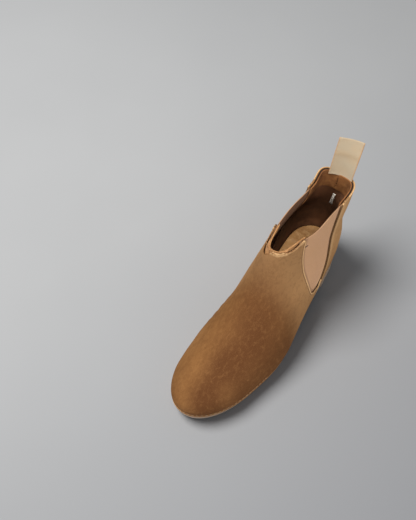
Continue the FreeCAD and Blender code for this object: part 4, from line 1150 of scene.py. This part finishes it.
vamp = sheet("vamp_upper", VAMP, 0.0, LEATHER, cols=250, rows=150, relief=vamp_relief, corner=(0, 0, 4.5, 4.5), material=SUEDE)
seam_marks(vamp, VAMP)
vamp_like(vamp, "vamp")
for nm, box, low in (("quarter_outer", (0.0008, 1, 0, 1), True), ("quarter_inner", (-1, -0.0008, 0, 1), False)):
    cnr = (0, 0, 0, 2.5) if low else (0, 0, 2.5, 0)
    o = sheet(nm, QUARTER, 0.0, LEATHER, box, cols=80, rows=130, relief=lambda i, b=low: quarter_relief(i, b), corner=cnr, material=SUEDE_Q)
    seam_marks(o, QUARTER)
    quarter_like(o, "quarter_lateral" if low else "quarter_medial")

vl = sheet("vamp_lining_leather", VAMP, LINE_IN, LINE_OUT, (-0.994, 0.994, 0.002, 0.90), cols=130, rows=90, material=LINING)
ff = sheet("collar_facing_front", VAMP, LINE_IN - 0.1, LINE_OUT + 0.1, (-0.994, 0.994, 0.902, 0.997), cols=150, rows=24, material=FACING_F)
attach(ff, "boot")
vamp_like(vl, "vamp_lining")
ql = sheet("quarter_lining_leather", QUARTER, LINE_IN, LINE_OUT, (-0.994, 0.994, 0.002, 0.872), cols=110, rows=80, material=LINING)
quarter_like(ql, "quarter_lining")
fb = sheet("collar_facing", QUARTER, LINE_IN, LINE_OUT + 0.45, (-0.994, 0.994, 0.79, 0.996), cols=120, rows=36, material=FACING)
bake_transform(fb)

tp = sheet("toe_puff_board", VAMP, GORE_IN, GORE_OUT, (-0.46, 0.46, 0.004, 0.27), cols=70, rows=36, material=STIFF)
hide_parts("toe_puff"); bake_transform(tp)
hc = sheet("heel_counter_board", QUARTER, GORE_IN, GORE_OUT, (-0.6, 0.6, 0.006, 0.46), cols=60, rows=40, material=STIFF)
quarter_like(hc, "heel_counter")
tf = sheet("topline_tape_front_cloth", VAMP, GORE_IN - 0.15, GORE_OUT + 0.15, (-0.46, 0.46, 0.955, 0.998), cols=70, rows=8, bot=[0, .1, .4], top=[0, .1, .4], lo=SMALL, hi=SMALL, material=TAPE_F)
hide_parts("topline_tape_front"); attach(tf, "boot")
for nm, c0, c1 in (("topline_tape_rear_inner", -0.76, 2 * (LOOP_C - 0.105) - 1), ("topline_tape_rear_outer", 2 * (LOOP_C + 0.105) - 1, 0.76)):
    tr = sheet(nm, QUARTER, GORE_IN, GORE_OUT, (c0, c1, 0.935, 0.998), cols=60, rows=8, bot=[0, .1, .4], top=[0, .1, .4], lo=SMALL, hi=SMALL, material=TAPE)
    quarter_like(tr, "topline_tape_rear")

RIB = 1.25
for nm, side, node in (("gore_outer", 1, "gore_lateral"), ("gore_inner", -1, "gore_medial")):
    def ribs(i):
        return 0.09 * np.cos(2 * np.pi * (i["c"] - 0.5) * 66.0 / RIB)
    o = sheet(nm, GORES[side], GORE_IN, GORE_OUT, (0, 1, 0, 0.992), cols=400, rows=60, lo=[0, .2, .5], hi=[0, .2, .5], bot=[0, .2, .5], top=[0, .2, .5], relief=ribs, inner_relief=ribs, material=ELASTIC)
    gc = np.zeros(len(o.data.vertices) * 3, np.float32)
    o.data.vertices.foreach_get("co", gc)
    gc = gc.reshape(-1, 3).astype(float) * 1000
    dv = nearest(VAMP_EDGE, gc[:, 1] + ORIGIN_U, gc[:, 2])[0]
    dq = nearest(QUARTER_EDGE, gc[:, 1] + ORIGIN_U, gc[:, 2])[0]
    # painted shade on the gore next to the vamp's and the quarter's edges
    shade = np.maximum(np.maximum(smooth(1.5, 0.5, dv), smooth(1.1, 0.4, dq)), 0.45 * smooth(4.6, 2.6, dv))
    add_attr(o, "tucked", lambda e, uv, si, cr: shade * (1 - si))
    add_attr(o, "ribs", lambda e, uv, si, cr: np.cos(2 * np.pi * (cr[:, 0] - 0.5) * 66.0 / RIB))
    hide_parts(node)
    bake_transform(o)

# ------------------------------------------------------------------ seams
R_T = 0.30


def side_path(skin, sgn, r0, r1, mm):
    def f(q):
        r = r0 + (r1 - r0) * q
        return sgn * (1 - mm / skin.L(sgn, r)), r
    return f


def top_path(skin, c0, c1, mm):
    def f(q):
        c = c0 + (c1 - c0) * q
        return c, 1 - mm / skin.Hc(c)
    return f


H_T = -0.10
sets = [row_on(VAMP, side_path(VAMP, s, 0.03, 0.965, GROOVE), 3.1, 2.3, H_T) for s in (1, -1)]
o = tube_stitches("vamp_edge_thread", *join(*sets), R_T, THREAD)
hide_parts("vamp_edge_stitching"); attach(o, "boot")
sets = [row_on(VAMP, top_path(VAMP, -0.93, 0.93, GROOVE), 3.1, 2.3, H_T)]
o = tube_stitches("topline_front_thread", *join(*sets), R_T, THREAD)
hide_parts("topline_stitching_front"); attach(o, "boot")
sets = [row_on(QUARTER, side_path(QUARTER, s, 0.03, 0.975, GROOVE), 3.1, 2.3, H_T) for s in (1, -1)]
o = tube_stitches("quarter_edge_thread", *join(*sets), R_T, THREAD)
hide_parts("quarter_edge_stitching"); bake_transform(o)
sets = [row_on(QUARTER, top_path(QUARTER, a, b, GROOVE), 3.1, 2.3, H_T) for a, b in ((0.045, 0.94), (-0.94, -0.045))]
o = tube_stitches("topline_rear_thread", *join(*sets), R_T, THREAD)
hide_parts("topline_stitching_rear"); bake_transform(o)


def back_path(sgn, mm):
    def f(q):
        r = 0.035 + 0.93 * q
        return sgn * (0.0008 + mm / QUARTER.L(sgn, r)), r
    return f


sets = [row_on(QUARTER, back_path(s, GROOVE), 3.1, 2.3, H_T) for s in (1, -1)]
o = tube_stitches("back_seam_thread", *join(*sets), R_T, THREAD)
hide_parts("back_seam_stitching"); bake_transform(o)

# bar tacks: a short dense bar on the gore, just behind the vamp's edge
sets = []
k = int(np.argmin(np.abs(VAMP_EDGE.P[:, 1] - 137.0)))
eu, ez = VAMP_EDGE.P[k]
for s in (1, -1):
    du = 1.0 + np.arange(11) * 0.42
    lean = 0.25 * (np.arange(11) % 2 - 0.5)
    ends = []
    for dz in (0.75, -0.75):
        uu, zz = eu + du + lean * np.sign(dz), np.full(11, ez + dz)
        p = surf(s, uu, zz)
        q = surf(s, uu + 0.5, zz)
        t = q - p
        n = np.stack([t[:, 1], -t[:, 0], 0 * t[:, 0]], -1) * s
        n /= np.linalg.norm(n, axis=1, keepdims=True)
        ends.append((p - n * (GORE_IN - 0.22), n))
    sets.append((ends[0][0], ends[1][0], ends[0][1]))
o = tube_stitches("bar_tack_thread", *join(*sets), 0.3, THREAD_D, sink=0.8)
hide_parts("bar_tacks"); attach(o, "boot")

# ------------------------------------------------------------------ sole
Z = lambda f: (lambda x, u: f(u))
base = fine_loop(lambda u: SOLE_EDGE + 0.6 * smooth(55, 22, u) - SOLE_SET_IN * smooth(228, 165, u))
o = plate("outsole_rubber", base, lambda x, u: FEATHER(u) - WELT_T, lambda x, u: sole_bottom(u), 0.35, 1.3, RUBBER, wall=6)
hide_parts("outsole_front", "outsole_rear"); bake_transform(o)


def heel_outline(inset=0.0, corner=1.4):
    P = fine_loop(SOLE_EDGE - inset)
    keep = P[:, 1] >= U_BREAST
    start = int(np.where(keep & ~np.roll(keep, 1))[0][0])
    order = (np.arange(len(P)) + start) % len(P)
    Q = P[order]
    n = 0
    while Q[n, 1] >= U_BREAST:
        n += 1
    Q = Q[:n]
    a, b = Q[-1].copy(), Q[0].copy()
    a[1] = b[1] = U_BREAST
    def fillet(prev, corner_pt, nxt, r):
        d0, d1 = prev - corner_pt, nxt - corner_pt
        d0, d1 = d0 / np.linalg.norm(d0), d1 / np.linalg.norm(d1)
        p0, p1 = corner_pt + d0 * r, corner_pt + d1 * r
        t = np.linspace(0, 1, 7)[:, None]
        return (1 - t) ** 2 * p0 + 2 * t * (1 - t) * corner_pt + t ** 2 * p1
    Q2 = Q[(Q[:, 1] > U_BREAST + corner + 0.3)]
    A = fillet(Q2[-1], a, b, corner)
    B = fillet(a, b, Q2[0], corner)
    m = 24
    line = A[-1] + (B[0] - A[-1]) * (np.arange(1, m) / m)[:, None]
    return np.concatenate([Q2, A, line, B])


hb = heel_outline()
o = plate("heel_block_rubber", hb, lambda x, u: SOLE_WAIST(u) - 0.05, lambda x, u: 0 * u + HEEL_TOP_T + 0.05, 0.3, 0.3, RUBBER, wall=4, spacing=7)
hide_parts("heel_block"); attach(o, "boot")
o = plate("heel_top_rubber", hb, lambda x, u: 0 * u + HEEL_TOP_T, lambda x, u: 0 * u, 0.3, 0.9, RUBBER, wall=4, spacing=7)
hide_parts("heel_top_piece"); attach(o, "boot")

prof = [(-WELT_IN, -2.9), (0.9, -2.9), (1.15, -2.82), (1.27, -2.6), (1.3, -2.2), (1.3, -0.75), (1.25, -0.42), (1.13, -0.22), (0.98, -0.14), (0.88, -0.22), (0.78, -0.42), (0.66, -0.56), (0.5, -0.6), (0.34, -0.52), (0.16, -0.36), (0.0, -0.2), (-0.3, -0.12), (-WELT_IN, -0.12)]
o = ring_solid("welt_leather_band", prof, WELT)
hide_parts("welt_front", "welt_rear"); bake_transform(o)
o = plate("cork_layer", fine_loop(-WELT_IN - 0.3), lambda x, u: FEATHER(u) - 0.15, lambda x, u: FEATHER(u) - WELT_T + 0.05, 0.2, 0.2, CORK, wall=2)
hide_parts("cork_filler_front", "cork_filler_rear"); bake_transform(o)
o = plate("insole_layer", fine_loop(-INSOLE_IN), lambda x, u: FEATHER(u) + INSOLE_T, lambda x, u: FEATHER(u) + 0 * x, 0.3, 0.3, BOARD, wall=2)
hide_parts("insole_board_front", "insole_board_rear"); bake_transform(o)


def sock_top(x, u):
    p = np.stack([x, u, 0 * x], -1)
    return FEATHER(u) + INSOLE_T + SOCK_T - 0.15 + soft_noise(p, 21, 34, 0.22) + soft_noise(p, 22, 12, 0.08)


o = plate("sock_leather_layer", fine_loop(-INSOLE_IN - 0.3), sock_top, lambda x, u: FEATHER(u) + INSOLE_T + 0.05, 0.7, 0.2, SOCK, wall=2, spacing=3.0)
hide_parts("sock_liner_front", "sock_liner_rear"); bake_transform(o)

lp = fine_loop(lambda u: 0.62 + 0.3 * smooth(55, 22, u), 1600)
p3 = np.c_[lp, FEATHER(lp[:, 1]) - 0.12]
s = np.concatenate([[0], np.cumsum(np.linalg.norm(np.diff(np.r_[p3, p3[:1]], axis=0), axis=1))])
cnt = round(s[-1] / 5.2)
w = np.arange(cnt) * s[-1] / cnt
at = lambda v: np.stack([np.interp(v % s[-1], s, np.r_[p3, p3[:1]][:, k]) for k in range(3)], -1)
up = np.tile([0.0, 0.0, 1.0], (cnt, 1))
keep = np.maximum(at(w)[:, 1], at(w + 3.7)[:, 1]) < U_BREAST
o = tube_stitches("welt_thread", at(w)[keep], at(w + 3.7)[keep], up[keep], 0.34, THREAD_L, sink=0.9)
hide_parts("welt_stitching_front", "welt_stitching_rear"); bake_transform(o)

# ------------------------------------------------------------------ pull loop, label
LOOP_W, LOOP_T = 27.0, 0.72
JOINT = [j for j in frame["joints"] if j["name"] == "pull_loop_fold"][0]
HX, HU, HZ = JOINT["pos_m"][0] * 1000 + ORIGIN_X, JOINT["pos_m"][1] * 1000 + ORIGIN_U, JOINT["pos_m"][2] * 1000


def webbing_strip(name, path, nrm, width, thick, cx, material, per=0.28, weave=0.05, place=None):
    """woven band: path (k,3) of centre line, nrm (k,3) outward normals; rounded selvedges"""
    k = len(path)
    seg = np.concatenate([[0], np.cumsum(np.linalg.norm(np.diff(path, axis=0), axis=1))])
    n = int(width / per)
    x = np.linspace(-width / 2, width / 2, n + 1)
    e = width / 2 - np.abs(x)
    R = thick / 2
    half = np.sqrt(np.maximum(0, R * R - (R - np.minimum(e, R)) ** 2))
    relief = weave * np.sin(2 * np.pi * x[None, :] / 1.5) * np.sin(2 * np.pi * seg[:, None] / 1.1)
    relief = relief + 0.07 * np.exp(-((e - 1.1) / 0.6) ** 2)[None, :]
    relief = relief * smooth(0.1, 0.8, e)[None, :]
    ax = np.array([1.0, 0, 0])
    base = path[:, None, :] + ax[None, None, :] * x[None, :, None]
    out = base + nrm[:, None, :] * (half[None, :] + relief)[..., None]
    inn = base - nrm[:, None, :] * (half[None, :] + relief)[..., None]
    N = k * (n + 1)
    io = np.arange(N).reshape(k, n + 1)
    ii = np.zeros_like(io)
    ii[:, 0], ii[:, -1] = io[:, 0], io[:, -1]
    ii[:, 1:-1] = N + np.arange(k * (n - 1)).reshape(k, n - 1)
    verts = np.concatenate([out.reshape(-1, 3), inn[:, 1:-1].reshape(-1, 3)])
    fo, fi = quads(k - 1, n, io), quads(k - 1, n, ii)
    faces = np.concatenate([fo, fi[:, ::-1]]).tolist()
    for row, fl in ((0, True), (k - 1, False)):
        for j in range(n):
            f = [io[row, j], io[row, j + 1], ii[row, j + 1], ii[row, j]]
            f = list(dict.fromkeys(int(v) for v in f))
            if len(f) >= 3:
                faces.append(f[::-1] if fl else f)
    both = lambda a: np.concatenate([a.reshape(-1), a[:, 1:-1].reshape(-1)])
    ee = np.broadcast_to(e[None, :], (k, n + 1))
    uv = np.stack([np.broadcast_to(x[None, :], (k, n + 1)), np.broadcast_to(seg[:, None], (k, n + 1)), 0 * ee], -1)
    uv = np.concatenate([uv.reshape(-1, 3), uv[:, 1:-1].reshape(-1, 3)])
    # mask for the painted fold shade band across the loop
    crease = np.exp(-((verts[:, 2] - 23.5) / 3.6) ** 2)
    if place is not None:
        verts = place(verts)
    o = make(name, verts, faces, {"edge": both(ee), "uvmm": uv, "crease": crease}, material)
    me = o.data
    import bmesh
    bm = bmesh.new(); bm.from_mesh(me); bmesh.ops.recalc_face_normals(bm, faces=bm.faces); bm.to_mesh(me); bm.free()
    return o


YAW, LOOP_LEAN = math.radians(8), math.radians(15)
top_l, gap_l = 42.0, 0.42
pts, nrm = [], []
bow = lambda k: 1.15 * math.sin(math.pi * min(1, max(0, k + 1) / top_l)) ** 1.2
for k in np.linspace(-4.6, top_l - 1.5, 150):
    pts.append((-gap_l - bow(k), k)); nrm.append((-1, 0))
for a in np.linspace(0, np.pi, 18)[1:-1]:
    pts.append((-(gap_l + bow(top_l - 1.5)) * math.cos(a), top_l - 1.5 + 1.3 * math.sin(a)))
for k in np.linspace(top_l - 1.5, -4.6, 150):
    pts.append((gap_l + bow(k) * 0.55, k))
pts = np.array(pts)
cl, sl_ = math.cos(LOOP_LEAN), math.sin(LOOP_LEAN)
hang = 0.0009 * np.maximum(pts[:, 1], 0) ** 2
bb = pts[:, 0] * cl + pts[:, 1] * sl_ + hang
zz = -pts[:, 0] * sl_ + pts[:, 1] * cl
path = np.c_[np.zeros(len(bb)), bb, zz]
d = np.gradient(path, axis=0)
nn = np.c_[np.zeros(len(bb)), -d[:, 2], d[:, 1]]
nn /= np.linalg.norm(nn, axis=1, keepdims=True)


def loop_place(v):
    """local (w, b, z) to design mm: the base follows the curved back of the collar, the top is flatter and a little skewed"""
    w, b_, z_ = v[:, 0], v[:, 1], v[:, 2]
    k = np.clip(z_ / top_l, -0.2, 1)
    b2 = b_ - (w ** 2) / (2 * 30.0) * (1 - 0.62 * smooth(0, 0.75, k)) + 0.35 * np.sin(w / 7.0 + 0.6) * smooth(0.1, 1, k) + 0.018 * w * smooth(0.2, 1, k) * 6
    b2 = b2 - 0.35 * np.exp(-((z_ - 23.0) / 4.0) ** 2)
    return np.c_[HX + w * math.cos(YAW) - b2 * math.sin(YAW), HU + w * math.sin(YAW) + b2 * math.cos(YAW), HZ + z_]


o = webbing_strip("pull_loop_webbing", path, nn, LOOP_W, LOOP_T, 0.0, WEB, place=loop_place)
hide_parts("pull_loop")
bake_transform(o)

tail = sheet("pull_loop_tail_webbing", QUARTER, GORE_IN + 0.05, GORE_OUT - 0.05, (2 * LOOP_C - 1 - 0.2, 2 * LOOP_C - 1 + 0.2, 0.85, 0.962), cols=90, rows=50, lo=SMALL, hi=SMALL, top=SMALL, material=WEB)
quarter_like(tail, "pull_loop_tail")
sets = []
for r in (0.875, 0.945):
    for c0, c1 in ((2 * LOOP_C - 1.17, -0.03), (0.03, 2 * LOOP_C - 1 + 0.17)):
        sets.append(row_on(QUARTER, lambda q, r=r, c0=c0, c1=c1: (c0 + (c1 - c0) * q, r + 0 * q), 3.1, 2.3, 0.08))
o = tube_stitches("pull_loop_thread", *join(*sets), R_T, THREAD)
quarter_like(o, "pull_loop_stitching")


def zigzag(skin, c0, c1, r0, r1, step, depth):
    n = int((c1 - c0) * float(skin.L(0.5, 0.97)) / step)
    c = np.linspace(c0, c1, n + 1)
    rr = np.where(np.arange(n + 1) % 2 == 0, r0, r1)
    p, nn = frame_at(skin, c, rr)
    p = p - nn * depth
    return p[:-1], p[1:], -(nn[:-1] + nn[1:]) / 2


o = tube_stitches("collar_overcast_rear", *zigzag(QUARTER, -0.9, 0.9, 0.962, 0.984, 1.7, LINE_OUT + 0.22), 0.26, THREAD_L)
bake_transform(o)


def whip(skin, c0, c1, step):
    """short slanting stitches laid over the top edge, from the suede's rim down to the lining"""
    n = int((c1 - c0) * float(skin.L(0.5, 0.97)) / step)
    c = np.linspace(c0, c1, n)
    P0, N0 = frame_at(skin, c, np.full(n, 0.9985))
    P1, N1 = frame_at(skin, c + 0.6 * (c1 - c0) / n, np.full(n, 0.982))
    return P0 - N0 * 1.7 + np.array([0, 0, 0.12]), P1 - N1 * (LINE_OUT + 0.25), -(N0 + N1) / 2 + np.array([0, 0, 0.8])


o = tube_stitches("collar_overcast_front", *whip(VAMP, -0.95, 0.95, 1.9), 0.3, THREAD)
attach(o, "boot")
lb = sheet("size_label_cloth", QUARTER, LINE_OUT + 0.16, LINE_OUT + 0.5, (0.012, 0.084, 0.53, 0.72), cols=24, rows=60, lo=[0, .1, .3], hi=[0, .1, .3], bot=[0, .1, .3], top=[0, .1, .3],
           relief=lambda i: -1.4 * np.sin(np.pi * np.clip((i["r"] - 0.53) / 0.19, 0, 1)) * smooth(0, 5, i["xl"]), inner_relief=lambda i: 1.4 * np.sin(np.pi * np.clip((i["r"] - 0.53) / 0.19, 0, 1)) * smooth(0, 5, i["xl"]), material=LABEL)
quarter_like(lb, "size_label")

for name, mat, sl in (("shank", STEEL, "steel"), ("heel_nails", STEEL, "steel")):
    ob = frame["nodes"][name]
    ob.data.materials.clear()
    ob.data.materials.append(mat)

# ------------------------------------------------------------------ stage, light, camera
bpy.ops.mesh.primitive_plane_add(size=8, location=(0, 0, 0))
floor = bpy.context.object
floor.name = "floor"
fm = Mat("studio_floor", rough=0.75, spec=0.2)
sx_ = fm.new("ShaderNodeSeparateXYZ")
fm.put(sx_.inputs[0], fm.co)
# painted light falloff: the floor darkens toward +x, away from the key light
painted_falloff = fm.rng(fm.math("ADD", fm.math("MULTIPLY", sx_.outputs[0], 1.0), fm.math("MULTIPLY", sx_.outputs[1], -0.35)), -0.22, 0.32)
fc = fm.mix(fm.rng(fm.noise(3, 3), 0.3, 0.7), srgb(159, 160, 161), srgb(163, 164, 165))
fm.colour(fm.mix(painted_falloff, fc, srgb(142, 143, 146)))
floor.data.materials.append(fm.m)

world = bpy.data.worlds.new("studio")
bpy.context.scene.world = world
world.use_nodes = True
world.node_tree.nodes["Background"].inputs[0].default_value = (0.93, 0.96, 1.0, 1)
world.node_tree.nodes["Background"].inputs[1].default_value = 0.3


def area(name, loc, aim, size, power, col):
    d = bpy.data.lights.new(name, "AREA")
    d.shape, d.size, d.energy, d.color = "DISK", size, power, col
    o = bpy.data.objects.new(name, d)
    bpy.context.scene.collection.objects.link(o)
    o.location = loc
    o.rotation_euler = (Vector(aim) - Vector(loc)).to_track_quat("-Z", "Y").to_euler()
    return o


area("key", (-0.7, -0.24, 1.6), (0, 0, 0.05), 0.85, 39, (1.0, 0.985, 0.965))
bounce = area("bounce", (1.0, -0.6, 0.8), (0, 0, 0.07), 0.9, 16, (1.0, 0.97, 0.94))
lit_by_bounce = bpy.data.collections.new("bounce_receivers")
lit_by_bounce.objects.link(floor)
bounce.light_linking.receiver_collection = lit_by_bounce
for n in ("outsole_rubber", "heel_block_rubber", "heel_top_rubber", "welt_leather_band"):
    lit_by_bounce.objects.link(bpy.data.objects[n])
for it in lit_by_bounce.collection_objects:
    it.light_linking.link_state = "EXCLUDE"

opening = area("opening", (0.3, -0.62, 1.85), (0.0, 0.08, 0.1), 0.45, 36, (1.0, 0.97, 0.92))
lit_inside = bpy.data.collections.new("inside_receivers")
for n in [q.name for q in bpy.data.objects if q.type == "MESH"]:
    if any(n.startswith(k) for k in ("vamp_lining_leather", "quarter_lining_leather", "collar_facing", "collar_overcast_rear", "sock_leather", "size_label")) and n != "collar_facing_front":
        lit_inside.objects.link(bpy.data.objects[n])
opening.light_linking.receiver_collection = lit_inside

cam_d = bpy.data.cameras.new("cam")
cam = bpy.data.objects.new("cam", cam_d)
bpy.context.scene.collection.objects.link(cam)
cam_d.sensor_width, cam_d.sensor_fit, cam_d.lens = 36.0, "VERTICAL", 46.78
cam_d.sensor_height = 36.0
cam.location = metres((142.72, -170.27, 743.8))
fwd, upv = Vector((-0.2832, 0.4162, -0.8641)).normalized(), Vector((-0.4861, 0.7144, 0.5034))
rgt = fwd.cross(upv).normalized()
upv = rgt.cross(fwd).normalized()
from mathutils import Matrix
cam.rotation_euler = Matrix((rgt, upv, -fwd)).transposed().to_euler()
cam_d.clip_start = 0.02
bpy.context.scene.camera = cam
bpy.context.scene.view_settings.view_transform = "Standard"
